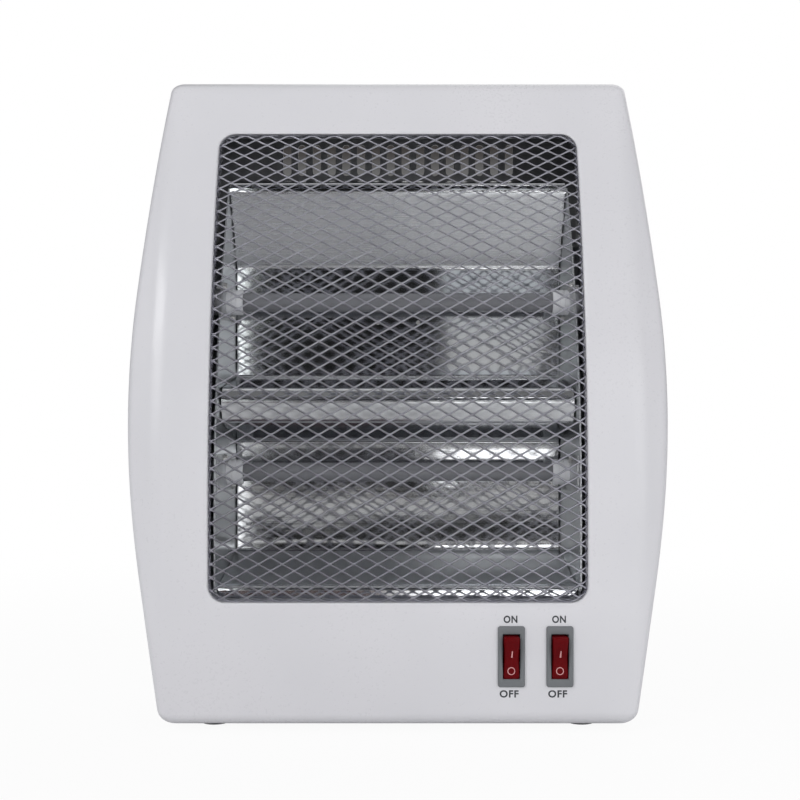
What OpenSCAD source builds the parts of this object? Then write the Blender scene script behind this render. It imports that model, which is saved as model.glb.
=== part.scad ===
// Two-tube quartz radiant heater, free standing, in millimetres.
// The front faces -Y, Z is up, and the origin is on the floor under the middle of the heater.

/* [Housing] */
// Height of the top of the housing above the floor
body_top = 343.2; // [338:0.5:346]
// Gap between the floor and the bottom of the bezel
body_bottom = 3.5; // [3:0.5:6]
// Depth of the housing, bezel front to rear cover
body_d = 112; // [110:0.5:118]
// Depth of the bezel's side walls, front face to open rim
bezel_d = 82.5; // [80:0.5:86]
// Half width of the bezel at its bottom edge
flank_low = 120.3; // [119:0.1:123]
// Half width of the bezel at its top edge
flank_high = 124.4; // [124:0.1:126]
// Half width at which the two straight flanks would meet
flank_peak = 142.4; // [139:0.1:144]
// Height at which the two straight flanks would meet
flank_peak_z = 149; // [140:1:158]
// Radius that blends the straight flanks
flank_r = 610; // [500:10:680]
// Corner radius of the outline at the bottom
corner_low_r = 9; // [5:0.5:12]
// Corner radius of the outline at the top
corner_high_r = 6.5; // [4:0.5:10]
// Height where the front face starts to curve back
curve_z = 112; // [100:1:124]
// Radius of the curved part of the front face
front_r = 430; // [420:5:520]
// Half distance between the two soft creases of the front
crease_x = 122.5; // [121:0.1:124]
// Angle by which each side wing turns back from the front face
wing_deg = 24; // [15:1:32]
// How far below the front's curve the wings start to curve back
wing_lead = 2; // [1:0.5:8]
// Rounding of the housing's bottom and top front edges
edge_r = 7; // [4:0.5:9]
// Wall of the plastic bezel
bezel_wall = 2.4; // [2:0.1:3]
// Wall of the steel rear cover
cover_wall = 1; // [0.8:0.1:1.5]
// Rounding of the rear cover's back edges
cover_edge_r = 6; // [3:0.5:9]
// How far the rear cover slides into the bezel
cover_lap = 6; // [4:0.5:9]
// Gap all round between the rear cover and the bezel
cover_gap = 0.2; // [0.1:0.05:0.4]

/* [Window and guard] */
// Width of the window
window_w = 191.6; // [188:0.2:193]
// Height of the window's bottom edge
window_low = 65.4; // [63:0.1:67]
// Height of the window's top edge
window_high = 310.8; // [308:0.1:312]
// Corner radius of the window
window_r = 8.6; // [6:0.2:11]
// Depth of the flange that turns inwards round the window
window_flange_d = 13; // [12:0.5:20]
// Thickness of the expanded sheet of the guard
guard_t = 0.8; // [0.6:0.1:1.2]
// Depth of the guard's folded rim
guard_rim_d = 12; // [10:0.5:15]
// How far the guard lies behind the bezel's face
guard_inset = 0.5; // [0.3:0.1:1]
// Gap between the guard's rim and the window
guard_gap = 0.3; // [0.2:0.05:0.5]
// Number of openings across the guard
guard_cols = 8; // [6:1:9]
// Number of openings up the guard
guard_rows = 17; // [12:1:18]
// Share of the guard's height below its lower seam
seam_low = 0.35; // [0.3:0.01:0.4]
// Share of the guard's height below its upper seam
seam_high = 0.68; // [0.6:0.01:0.7]
// Width of the guard's strands
strand_w = 1.4; // [1:0.1:2]

/* [Reflector] */
// Thickness of the reflector sheet
reflector_t = 0.6; // [0.5:0.1:1]
// Depth of the reflector's flat backs behind the front face
trough_d = 60; // [58:0.5:62]
// Depth of the ridge between the troughs
ridge_d = 19; // [17:0.5:22]
// Height of the ridge between the troughs
ridge_z = 167.6; // [165:0.2:170]
// Height of the ridge's upper bevel
ridge_rise = 6.3; // [4.5:0.1:8]
// Height of the ridge's lower bevel
ridge_fall = 11.7; // [9:0.1:14]
// Depth of the ridge's bevels
ridge_bevel = 3; // [2:0.5:5]
// Height of the top of the upper trough's flat back
back_upper_high = 240; // [234:0.5:242]
// Height of the bottom of the upper trough's flat back
back_upper_low = 180; // [177:0.5:184]
// Height of the top of the lower trough's flat back
back_lower_high = 146; // [143:0.5:150]
// Height of the bottom of the lower trough's flat back
back_lower_low = 85.8; // [80:0.5:90]
// Distance of the reflector's top lip below the window's top edge
lip_drop = 27.4; // [24:0.2:30]
// Depth of the top lip behind the bezel's face at its height
lip_d = 7.5; // [6:0.5:9]
// Height of the upright lips along the reflector's upper and lower edges
lip_face = 4.3; // [3:0.1:6]
// How far the top hem turns back behind the lip
hem_w = 7.5; // [5:0.5:10]
// How far the top hem rises above the lip
hem_rise = 2.4; // [1.5:0.1:3.5]
// Height of the bottom hem above the window's bottom edge
hem_lift = 2.1; // [1.5:0.1:4]
// Gap between the guard's rim and the reflector's bottom hem
hem_gap = 2; // [1:0.5:4]
// Thickness of the side plates
plate_t = 0.8; // [0.6:0.1:1]
// Half distance between the side plates at their front edge
plate_front_x = 93; // [92:0.1:93.4]
// Half distance between the side plates at the trough's back
plate_back_x = 88.4; // [87:0.1:90]
// Depth of the side plates' front edge behind the front face
plate_front_d = 9; // [7:0.5:11]
// Width of the side plates' fixing flange
plate_flange_w = 22; // [20:0.5:24]
// How far the fixing flange reaches above the upper trough's back
plate_flange_rise = 11.5; // [9:0.5:14]
// Distance of the flange's screws from its outer edge
plate_screw_edge = 6.5; // [5:0.5:8]
// Distance of the flange's screws from its ends
plate_screw_end = 12; // [8:0.5:20]
// How far the side plates stand past the reflector's edges
plate_margin = 0.4; // [0.2:0.1:0.8]
// Clearance of the side plates from the guard's rim and the window's flange
rim_clear = 0.3; // [0.2:0.1:0.6]

/* [Tubes] */
// Outside radius of the quartz tubes
tube_r = 5; // [4:0.1:5.4]
// Wall of the quartz tubes
tube_wall = 1; // [0.8:0.1:1.4]
// Half length of the quartz tubes
tube_half = 96; // [94:0.5:97]
// Depth of the tubes behind the front face
tube_d = 36.5; // [34:0.5:39]
// Height of the upper tube
tube_high_z = 219.2; // [214:0.2:224]
// Height of the lower tube
tube_low_z = 129.6; // [126:0.2:134]
// Radius of the wound core inside each tube
coil_r = 3.2; // [2.5:0.1:3.5]
// Radius of the lead that leaves each end cap
lead_r = 1; // [0.7:0.1:1.3]
// Outside radius of the ceramic end caps
cap_r = 6.75; // [6.2:0.05:7.2]
// Radius of the collar that stops each end cap outside its plate
cap_collar_r = 8.6; // [8:0.1:9]
// Thickness of that collar
cap_collar_t = 2.2; // [1.6:0.1:3]
// How far each end cap reaches over its tube
cap_grip = 14.4; // [13:0.2:16]
// How far each end cap reaches past its tube and its collar
cap_end = 4; // [3:0.5:5]
// Gap between the end of a tube and the bottom of its cap
tube_end_gap = 0.5; // [0.3:0.1:1]
// Length of wound core that each end cap hides
core_hidden = 6; // [4:0.5:10]
// Length of the lead outside each end cap
lead_out = 8; // [5:0.5:10]
// Height of the brackets that hold the end caps
bracket_h = 19.5; // [18.5:0.5:22]
// Length of the brackets, front to back
bracket_l = 42; // [38:1:44]
// Thickness of the brackets
bracket_t = 0.8; // [0.6:0.1:1]
// How far the brackets reach further in front of the tubes than behind them
bracket_shift = 3.5; // [2:0.5:5]
// Distance of the bracket screws in front of and behind the tubes
bracket_screw_d = 9.5; // [9:0.1:11]
// Distance of the bracket screws above and below the tubes
bracket_screw_z = 7.2; // [6.8:0.1:7.4]
// Radius of the bracket screws
bracket_screw_r = 1.5; // [1.2:0.1:1.6]
// Length of the bracket screws' shanks
bracket_screw_l = 4; // [3.5:0.5:4.5]

/* [Switches] */
// Height of the middle of the switches
switch_z = 38.5; // [33:0.5:40]
// Distance of the left switch from the middle
switch_left_x = 57.1; // [54:0.1:58]
// Distance of the right switch from the middle
switch_right_x = 81.5; // [80:0.1:85]
// Width of the switches' grey frame
switch_w = 13.6; // [13:0.1:15]
// Height of the switches' grey frame
switch_h = 30.6; // [29:0.2:33]
// Width of the frame's lip at its sides
switch_lip_w = 0.5; // [0.4:0.1:0.8]
// Height of the frame's lip at its ends
switch_lip_h = 1.3; // [1:0.1:1.8]
// How far the frame's flange stands proud of the bezel
switch_flange_t = 1.2; // [0.8:0.1:1.6]
// Depth of the switch body behind the bezel's face
switch_body_d = 22; // [19:0.5:26]
// Width of the rocker
rocker_w = 8.3; // [7.6:0.1:8.6]
// Radius of the rocker's ends about its pivot
rocker_r = 11.1; // [10.4:0.1:11.6]
// Distance from the rocker's pivot to the valley in its face
rocker_valley = 2.4; // [2:0.1:3]
// Angle that the rocker turns from off to on
rock_deg = 20; // [16:1:22]
// Radius of the rocker's trunnion pins
trunnion_r = 1.2; // [1:0.05:1.4]

/* [Tip-over switch] */
// Distance of the plunger from the middle
plunger_x = -20; // [-40:1:0]
// Place of the plunger, front to back
plunger_y = -8; // [-15:1:0]
// Radius of the plunger's tip
plunger_r = 3; // [2.5:0.1:4]
// Radius of the plunger's stem
stem_r = 1.8; // [1.5:0.1:2.2]
// Travel of the plunger when the heater is lifted
plunger_travel = 6; // [4:0.5:6]
// Gap between the plunger's tip and the floor
plunger_lift = 0.3; // [0.2:0.1:0.6]

/* [Rear and base] */
// Number of vent slots across the back
vent_count = 16; // [10:1:18]
// Distance from one vent slot to the next
vent_pitch = 8.6; // [8:0.1:9.4]
// Width of the vent slots
vent_w = 4.6; // [3.6:0.1:5.4]
// Height of the vent slots
vent_h = 18; // [14:0.5:20]
// Height of the middle of the upper vent slots
vent_high_z = 307.5; // [304:0.5:311]
// Height of the middle of the lower vent slots
vent_low_z = 84; // [76:1:96]
// Width of the carrying recess
grip_w = 100; // [90:1:112]
// Height of the carrying recess
grip_h = 32; // [28:1:34]
// Height of the middle of the carrying recess
grip_z = 262; // [256:1:266]
// Depth of the carrying recess
grip_d = 22; // [18:0.5:26]
// Wall of the carrying recess
grip_wall = 1.6; // [1.2:0.1:2]
// Corner radius of the carrying recess
grip_r = 8; // [6:0.5:10]
// Width of the lip round the carrying recess
grip_lip_w = 4; // [3:0.5:6]
// Thickness of the lip round the carrying recess
grip_lip_t = 1.5; // [1:0.1:2]
// Distance of the cord inlet from the middle
gland_x = -80; // [-88:1:-70]
// Height of the cord inlet
gland_z = 28; // [24:1:32]
// Radius of the bore that takes the cord
gland_bore_r = 3.5; // [3:0.1:4]
// Wall of the gland
gland_wall = 2.5; // [2:0.1:3]
// How far the gland stands out of the rear cover
gland_out = 6; // [5:0.5:8]
// How far the gland reaches into the housing
gland_in = 9; // [8:0.5:12]
// Distance of the feet from the middle
foot_x = 95; // [88:1:100]
// Radius of the rubber feet
foot_r = 7.5; // [6:0.5:9]
// Distance of the front feet behind the front face
foot_front_d = 25; // [22:1:32]
// Distance of the rear feet in front of the rear cover's face
foot_back_d = 14; // [12:1:18]
// Radius of the screws that hold the rear cover
screw_r = 1.6; // [1.4:0.1:1.8]
// Distance of the rear cover's screws inside the bezel's sides
cover_post_in = 13.5; // [12.5:0.5:16]
// Distance of the rear cover's screws from the bezel's top and bottom
cover_post_drop = 16.5; // [14:0.5:19]
// Length of the rear cover's screws
cover_screw_l = 14; // [10:0.5:16]
// Length of the screws that hold the side plates
plate_screw_l = 10; // [8:0.5:12]
// How far a screw's hole reaches past its tip
hole_end = 2; // [1:0.5:3]

/* [Fits] */
// Radial running gap of the trunnions and of the plunger
run_gap = 0.05; // [0.02:0.01:0.08]
// Gap between the rocker and its frame
rocker_gap = 0.15; // [0.1:0.01:0.2]
// Radial gap of screws and pegs in their holes
hole_gap = 0.15; // [0.1:0.05:0.3]
// Gap between pieces that seat on each other with play
seat_gap = 0.1; // [0.05:0.01:0.15]

/* [Hidden] */
$fn = 64;
arc_fn = 360;
corner_steps = 6;
flank_steps = 8;
far = 400;

// How far the raised end of a rocker stands out of the bezel's face
rocker_out = switch_flange_t + 3.5;
front_y = -(body_d + gland_out - rocker_out) / 2;
back_y = front_y + body_d;
split_y = front_y + bezel_d;
cover_inset = bezel_wall + cover_gap;
cover_low = body_bottom + cover_inset;
cover_high = body_top - cover_inset;
wall_y = back_y - cover_wall;
floor_z = body_bottom + bezel_wall;

// Slope of the side plates in plan
plate_slope = (plate_front_x - plate_back_x) / (trough_d - plate_front_d);
plate_deg = atan(plate_slope);
function plate_x(d) = plate_front_x - plate_slope * (d - plate_front_d);
bracket_d = tube_d - bracket_l / 2 - bracket_shift;

// Set-back of the front face at a height
function setback(z) = z <= curve_z ? 0 : front_r - sqrt(pow(front_r, 2) - pow(z - curve_z, 2));

// The collar of an end cap stops outside the slanted side plate
collar_x = plate_x(tube_d - cap_collar_r) + plate_t + seat_gap;
cap_in_x = tube_half - cap_grip;
cap_out_x = max(tube_half, collar_x + cap_collar_t) + cap_end;

// The reflector's section as depth and height, from the top hem to the bottom hem
lip_z = window_high - lip_drop;
reflector_section = [
  [setback(lip_z) + lip_d + hem_w, lip_z + hem_rise],
  [setback(lip_z) + lip_d, lip_z],
  [setback(lip_z) + lip_d, lip_z - lip_face],
  [trough_d, back_upper_high],
  [trough_d, back_upper_low],
  [ridge_d + ridge_bevel, ridge_z + ridge_rise],
  [ridge_d, ridge_z],
  [ridge_d + ridge_bevel, ridge_z - ridge_fall],
  [trough_d, back_lower_high],
  [trough_d, back_lower_low],
  [guard_rim_d + hem_gap, window_low + hem_lift + lip_face],
  [guard_rim_d + hem_gap, window_low + hem_lift]];

function unit(v) = v / norm(v);
function left_of(v) = [-v[1], v[0]];

// A polyline moved sideways by t, with mitred corners
function shifted(p, t) = [for (i = [0 : len(p) - 1])
  let (
    a = unit(p[max(i, 1)] - p[max(i, 1) - 1]),
    b = unit(p[min(i, len(p) - 2) + 1] - p[min(i, len(p) - 2)]),
    n = unit(left_of(a) + left_of(b)))
  p[i] + n * t / (n * left_of(a))];
function reversed(p) = [for (i = [len(p) - 1 : -1 : 0]) p[i]];

// The piece of a disc that bulges past the chord from a to b, on the side away from its centre
module bulge(a, b, centre, r) {
  m = (a + b) / 2;
  out = m - centre;
  intersection() {
    translate(centre) circle(r, $fn = arc_fn);
    translate(m) rotate(atan2(out[1], out[0])) translate([0, -2 * r]) square([r, 4 * r]);
  }
}

// A convex outline with one corner radius for each point
module rounded(p, radii) {
  n = len(p);
  function to_last(i) = unit(p[(i + n - 1) % n] - p[i]);
  function to_next(i) = unit(p[(i + 1) % n] - p[i]);
  function half_angle(i) = acos(to_last(i) * to_next(i)) / 2;
  function run(i) = radii[i] / tan(half_angle(i));
  polygon([for (i = [0 : n - 1]) each radii[i] == 0 ? [p[i]]
    : [p[i] + to_last(i) * run(i), p[i] + to_next(i) * run(i)]]);
  for (i = [0 : n - 1])
    if (radii[i] > 0)
      bulge(p[i] + to_last(i) * run(i), p[i] + to_next(i) * run(i),
        p[i] + unit(to_last(i) + to_next(i)) * radii[i] / sin(half_angle(i)), radii[i]);
}

module rounded_box(w, low, high, r) {
  rounded([[-w / 2, low], [w / 2, low], [w / 2, high], [-w / 2, high]], [r, r, r, r]);
}

// Extrusions of a side view along X, and of a front view along Y
module along_x(x0, x1) {
  translate([x0, 0, 0]) rotate([90, 0, 90]) linear_extrude(x1 - x0) children();
}
module along_y(y0, y1) {
  translate([0, y1, 0]) rotate([90, 0, 0]) linear_extrude(y1 - y0) children();
}
module rod_x(r, x0, x1) {
  translate([x0, 0, 0]) rotate([0, 90, 0]) cylinder(r = r, h = x1 - x0);
}
module rod_y(r, y0, y1) {
  translate([0, y0, 0]) rotate([-90, 0, 0]) cylinder(r = r, h = y1 - y0);
}

// Points along an arc from angle a0 to angle a1
function arc(centre, r, a0, a1, steps) = [for (k = [0 : steps])
  let (a = a0 + (a1 - a0) * k / steps) centre + r * [cos(a), sin(a)]];

// The arc that rounds the corner p between two straight edges, on a path that turns left
function corner_arc(before, p, after, r) = let (
    u = unit(before - p), v = unit(after - p), half = acos(u * v) / 2,
    centre = p + unit(u + v) * r / sin(half),
    start = p + u * r / tan(half) - centre,
    a0 = atan2(start[1], start[0]))
  arc(centre, r, a0, a0 + 180 - 2 * half, corner_steps);

// Front outline of the housing, moved inwards by inset: straight flanks blended by a long arc
module outline(inset) {
  low = [flank_low - inset, body_bottom + inset];
  high = [flank_high - inset, body_top - inset];
  v = [flank_peak - inset, flank_peak_z];
  u1 = unit(v - low);
  u2 = unit(high - v);
  turn = acos(u1 * u2);
  r = flank_r - inset;
  blend = arc(v - (left_of(u1) + left_of(u2)) / norm(left_of(u1) + left_of(u2)) * -r / cos(turn / 2),
    r, atan2(u1[1], u1[0]) - 90, atan2(u2[1], u2[0]) - 90, flank_steps);
  half = concat(corner_arc([0, low[1]], low, v, corner_low_r - inset), blend,
    corner_arc(v, high, [0, high[1]], corner_high_r - inset));
  polygon(concat(half, [for (p = reversed(half)) [-p[0], p[1]]]));
}

// Side view of all that lies at least inset behind the front face
module behind(inset, low, high, back) {
  translate([front_y + inset, low]) square([back - front_y - inset, curve_z - low]);
  intersection() {
    translate([front_y + front_r, curve_z]) circle(front_r - inset, $fn = arc_fn);
    translate([front_y, curve_z]) square([back - front_y, high - curve_z]);
  }
}

// Side view of the housing with its rounded bottom and top front edges
module side_form(back) {
  r = edge_r;
  big = [front_y + front_r, curve_z];
  c = [big[0] - sqrt(pow(front_r - r, 2) - pow(body_top - r - curve_z, 2)), body_top - r];
  t = big + unit(c - big) * front_r;
  rounded([[front_y, body_bottom], [back, body_bottom], [back, curve_z], [front_y, curve_z]], [r, 0, 0, 0]);
  intersection() {
    translate(big) circle(front_r, $fn = arc_fn);
    translate([front_y, curve_z]) square([back - front_y, t[1] - curve_z]);
  }
  polygon(concat([[back, t[1]], [back, body_top]],
    arc(c, r, 90, atan2(t[1] - c[1], t[0] - c[0]), corner_steps)));
}

// All that lies behind one side wing, moved inwards by inset
module wing(side, inset) {
  r = front_r / cos(wing_deg);
  z = curve_z - wing_lead;
  translate([side * crease_x, front_y, 0])
    rotate([0, 0, side * wing_deg])
      along_x(-far, far) {
        translate([inset, -20]) square([far, z + 20]);
        intersection() {
          translate([r, z]) circle(r - inset, $fn = arc_fn);
          translate([0, z]) square([far, far]);
        }
      }
}

// The bezel's outer form, solid to the back
module bezel_form(back) {
  intersection() {
    along_x(-far, far) side_form(back);
    along_y(front_y - 1, back) outline(0);
    wing(1, 0);
    wing(-1, 0);
  }
}

// The hollow that leaves the wall inset, with its front edges cut off flat inside the rounded ones
module bezel_hollow(inset, back) {
  low = body_bottom + inset;
  high = body_top - inset;
  cut = edge_r / 2;
  turn = asin((high - curve_z) / front_r);
  up = [front_y + setback(high) + inset / cos(turn) + cut, high];
  down = [front_y + inset + cut, low];
  intersection() {
    along_x(-far, far) behind(inset, 0, far, back);
    along_x(-far, far)
      polygon([down, [back, low], [back, high], up, up - 100 * [cos(turn / 2 + 12), sin(turn / 2 + 12)],
        down + 70 * [-1, 1]]);
    along_y(front_y - 1, back) outline(inset);
    wing(1, inset);
    wing(-1, inset);
  }
}

// Places of the long posts that take the rear cover's screws
cover_post_r = 4.5;
cover_posts = [for (s = [-1, 1]) each [[s * (flank_high - cover_post_in), body_top - cover_post_drop],
  [s * (flank_low - cover_post_in), body_bottom + cover_post_drop]]];
// Places of the posts that take the side plates' flanges
plate_post_r = 4;
plate_post_x = plate_back_x + plate_flange_w - plate_screw_edge;
flange_high = back_upper_high + plate_flange_rise;
plate_post_z = [back_lower_low + plate_screw_end, flange_high - plate_screw_end];
cutout_z = (back_upper_high + back_upper_low) / 2;
cutout_screw_x = 11;
cutout_screw_r = 1.1;
tip_body = [22, 12, 16];
tip_screw_l = tip_body[2] + 6;
tip_post_r = 2.8;
tip_post_x = tip_body[0] / 2 - 3;
tip_body_z = floor_z + 17;
pilot_r = screw_r - 0.25;
small_screw_r = 0.95;
foot_peg_r = 2.5;
gland_r = gland_bore_r + gland_wall;

module at_switches() {
  for (x = [switch_left_x, switch_right_x])
    translate([x, 0, switch_z]) children();
}

module front_bezel() {
  color("whitesmoke")
  difference() {
    union() {
      difference() {
        bezel_form(split_y);
        bezel_hollow(bezel_wall, split_y + 1);
      }
      intersection() {
        difference() {
          along_x(-far, far) behind(bezel_wall / 2, 0, far, split_y);
          along_x(-far, far) behind(window_flange_d, 0, far, split_y + 1);
        }
        along_y(front_y, split_y)
          rounded_box(window_w + 2 * bezel_wall, window_low - bezel_wall, window_high + bezel_wall,
            window_r + bezel_wall);
      }
      intersection() {
        bezel_hollow(bezel_wall / 2, back_y);
        union() {
          for (p = cover_posts)
            translate([p[0], 0, p[1]]) rod_y(cover_post_r, front_y, wall_y - seat_gap);
          for (s = [-1, 1], z = plate_post_z)
            translate([s * plate_post_x, 0, z])
              rod_y(plate_post_r, front_y, front_y + trough_d - seat_gap);
          for (s = [-1, 1])
            translate([plunger_x + s * tip_post_x, plunger_y, body_bottom + bezel_wall / 2])
              cylinder(r = tip_post_r, h = tip_body_z - body_bottom - bezel_wall / 2);
          translate([plunger_x, plunger_y, body_bottom + bezel_wall / 2])
            cylinder(r = plunger_r + 1.6, h = bezel_wall / 2 + 1);
        }
      }
    }
    along_y(front_y - 1, split_y)
      rounded_box(window_w, window_low, window_high, window_r);
    at_tubes()
      rod_x(cap_collar_r + hole_gap, -window_w / 2 - bezel_wall - 1, window_w / 2 + bezel_wall + 1);
    at_switches()
      along_y(front_y - 1, front_y + bezel_wall + 1)
        square([switch_body_w + 2 * seat_gap, switch_body_h + 2 * seat_gap], center = true);
    for (p = cover_posts)
      translate([p[0], 0, p[1]]) rod_y(pilot_r, back_y - cover_screw_l - hole_end, wall_y);
    for (s = [-1, 1], z = plate_post_z)
      translate([s * plate_post_x, 0, z]) rod_y(pilot_r, front_y + trough_d - plate_screw_l - hole_end, front_y + trough_d);
    for (s = [-1, 1])
      translate([plunger_x + s * tip_post_x, plunger_y, tip_body_z + tip_body[2] - tip_screw_l - hole_end])
        cylinder(r = small_screw_r, h = 12);
    translate([plunger_x, plunger_y, 0]) cylinder(r = plunger_r + run_gap, h = floor_z + 2);
    for (s = [-1, 1])
      translate([s * foot_x, front_y + foot_front_d, 0]) cylinder(r = foot_peg_r + hole_gap, h = floor_z + 1);
  }
}

// Half size of the sheet inside the guard's rim, and the heights of its rows
guard_half = window_w / 2 - guard_gap - guard_t;
guard_low = window_low + guard_gap + guard_t;
guard_high = window_high - guard_gap - guard_t;
col_pitch = 2 * guard_half / guard_cols;
flat_run = curve_z - guard_low;
arc_run = front_r * asin((guard_high - curve_z) / front_r) * PI / 180;
row_pitch = (flat_run + arc_run) / guard_rows;
function row_deg(j) = max(0, (j * row_pitch / 2 - flat_run) / front_r * 180 / PI);
function row_z(j) = j * row_pitch / 2 <= flat_run ? guard_low + j * row_pitch / 2
  : curve_z + front_r * sin(row_deg(j));
cell_run = norm([col_pitch, row_pitch]);
cell_a = col_pitch / 2 - strand_w / 2 * cell_run / row_pitch;
cell_b = row_pitch / 2 - strand_w / 2 * cell_run / col_pitch;

// The guard's depth from the front face, and its front outline moved inwards by inset
module guard_depth(front, back) {
  difference() {
    along_x(-far, far) behind(front, 0, far, split_y);
    along_x(-far, far) behind(back, 0, far, split_y + 1);
  }
}
module guard_area(inset) {
  in = guard_gap + inset;
  along_y(front_y, split_y)
    rounded_box(window_w - 2 * in, window_low + in, window_high - in, window_r - in);
}

// The expanded sheet between two of its half rows. Its strands end on the rim, and in knots at a seam.
module guard_sheet(from, to) {
  cols = guard_cols;
  rows = 2 * guard_rows;
  z0 = row_z(from) - (from == 0 ? 1 : 0);
  z1 = row_z(to) + (to == rows ? 1 : 0);
  color("silver")
  difference() {
    intersection() {
      guard_depth(guard_inset, guard_inset + guard_t);
      guard_area(guard_t);
      translate([-far, -far, z0]) cube([2 * far, 2 * far, z1 - z0]);
    }
    for (j = [from : to], i = [-cols : cols])
      if ((i + j + cols) % 2 == 0 && !(abs(i) == cols && (j == 0 || j == rows)))
        translate([i * col_pitch / 2, 0, row_z(j)])
          along_y(front_y - 2, split_y)
            polygon([[-cell_a, 0], [0, -cell_b * cos(row_deg(j))], [cell_a, 0], [0, cell_b * cos(row_deg(j))]]);
  }
}
seam_rows = [round(2 * guard_rows * seam_low), round(2 * guard_rows * seam_high)];
module grille_lower() guard_sheet(0, seam_rows[0]);
module grille_middle() guard_sheet(seam_rows[0], seam_rows[1]);
module grille_upper() guard_sheet(seam_rows[1], 2 * guard_rows);

// The rim that is folded back all round the sheet
module guard_rim() {
  color("silver")
  difference() {
    intersection() {
      guard_depth(guard_inset, guard_rim_d);
      guard_area(0);
    }
    guard_area(guard_t);
  }
}

// Plan of the space between the two side plates, moved outwards by t
module between_plates(t) {
  linear_extrude(far)
    polygon([[-plate_x(0) - t, front_y], [plate_x(0) + t, front_y],
      [plate_x(trough_d + 10) + t, front_y + trough_d + 10],
      [-plate_x(trough_d + 10) - t, front_y + trough_d + 10]]);
}

module reflector() {
  color("gainsboro")
  difference() {
    intersection() {
      along_x(-far, far)
        translate([front_y, 0])
          polygon(concat(reflector_section, reversed(shifted(reflector_section, reflector_t))));
      between_plates(-seat_gap / 2);
    }
    at_cutout_screws(front_y + trough_d) rod_y(cutout_screw_r, -1, 2);
  }
}

// Side view of a side plate
module plate_view() {
  top = reflector_section[1];
  low = reflector_section[len(reflector_section) - 1];
  intersection() {
    behind(plate_front_d, 0, far, split_y);
    translate([front_y, 0])
      polygon([[0, low[1] - plate_margin], [low[0], low[1] - plate_margin],
        [trough_d + plate_t, back_lower_low - plate_margin],
        [trough_d + plate_t, back_upper_high + plate_margin],
        [top[0], top[1] + plate_margin], [0, top[1] + plate_margin]]);
  }
}

module at_tubes() {
  for (z = [tube_low_z, tube_high_z])
    translate([0, front_y + tube_d, z]) children();
}

// The frame of a place on the right side plate's inner face, with X pointing out through the plate
module on_plate(d, z) {
  translate([plate_x(d), front_y + d, z]) rotate([0, 0, plate_deg]) children();
}

bracket_screw_places = [[tube_d - bracket_screw_d, bracket_screw_z],
  [tube_d + bracket_screw_d, -bracket_screw_z]];

// Space that the window's flange and the guard's rim take in front of the side plates
module rim_space() {
  in = guard_gap + guard_t + rim_clear;
  difference() {
    along_y(front_y - 1, front_y + max(window_flange_d, guard_rim_d) + rim_clear)
      translate([-far / 2, 0]) square([far, window_low + window_r]);
    along_y(front_y - 2, back_y)
      rounded_box(window_w - 2 * in, window_low + in, window_high - in, window_r - in);
  }
}

module side_plate_right() {
  color("lightgray")
  difference() {
    union() {
      intersection() {
        along_x(0, far) plate_view();
        difference() {
          between_plates(plate_t);
          translate([0, 0, -1]) between_plates(0);
        }
      }
      translate([plate_back_x, front_y + trough_d, back_lower_low])
        cube([plate_flange_w, plate_t, flange_high - back_lower_low]);
    }
    rim_space();
    at_tubes() rod_x(cap_r + hole_gap, plate_back_x - cap_grip, plate_back_x + plate_flange_w);
    for (z = [tube_low_z, tube_high_z], p = bracket_screw_places)
      on_plate(p[0], z + p[1]) rod_x(bracket_screw_r + hole_gap, -3, 3);
    for (z = plate_post_z)
      translate([plate_post_x, 0, z]) rod_y(screw_r + hole_gap, front_y + trough_d - 1, front_y + trough_d + 2);
  }
}

module side_plate_left() {
  mirror([1, 0, 0]) side_plate_right();
}

module tube_bracket(z) {
  color("darkgray")
  difference() {
    intersection() {
      difference() {
        translate([0, 0, -1]) between_plates(-seat_gap / 2);
        translate([0, 0, -2]) between_plates(-seat_gap / 2 - bracket_t);
      }
      translate([0, front_y + bracket_d, z - bracket_h / 2]) cube([far, bracket_l, bracket_h]);
      along_x(0, far) plate_view();
    }
    at_tubes() rod_x(cap_r + hole_gap, plate_back_x - cap_grip, plate_back_x + plate_flange_w);
    for (p = bracket_screw_places)
      on_plate(p[0], z + p[1]) rod_x(bracket_screw_r + hole_gap, -3, 3);
  }
}

module tube_bracket_upper_right() {
  tube_bracket(tube_high_z);
}
module tube_bracket_upper_left() {
  mirror([1, 0, 0]) tube_bracket(tube_high_z);
}
module tube_bracket_lower_right() {
  tube_bracket(tube_low_z);
}
module tube_bracket_lower_left() {
  mirror([1, 0, 0]) tube_bracket(tube_low_z);
}

// A pan-head screw along X, with its head's seat at the origin and its shank to +X
module pan_screw(r, head_r, head_h, length) {
  color("silver") {
    rod_x(r, 0, length);
    rotate([0, -90, 0]) cylinder(r1 = head_r, r2 = head_r * 0.75, h = head_h);
  }
}

module bracket_screws() {
  for (s = [0, 1], z = [tube_low_z, tube_high_z], p = bracket_screw_places)
    mirror([s, 0, 0])
      on_plate(p[0], z + p[1])
        translate([-bracket_t - seat_gap, 0, 0]) pan_screw(bracket_screw_r, bracket_screw_r + 1.2, 1.6, bracket_screw_l);
}

module reflector_screws() {
  for (s = [-1, 1], z = plate_post_z)
    translate([s * plate_post_x, front_y + trough_d + plate_t + seat_gap, z])
      rotate([0, 0, -90]) pan_screw(pilot_r, 3.2, 2, plate_screw_l);
}

module quartz_tube(z) {
  color("azure", 0.6)
  translate([0, front_y + tube_d, z])
    difference() {
      rod_x(tube_r, -tube_half, tube_half);
      rod_x(tube_r - tube_wall, -tube_half - 1, tube_half + 1);
    }
}
module quartz_tube_upper() {
  quartz_tube(tube_high_z);
}
module quartz_tube_lower() {
  quartz_tube(tube_low_z);
}

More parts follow.
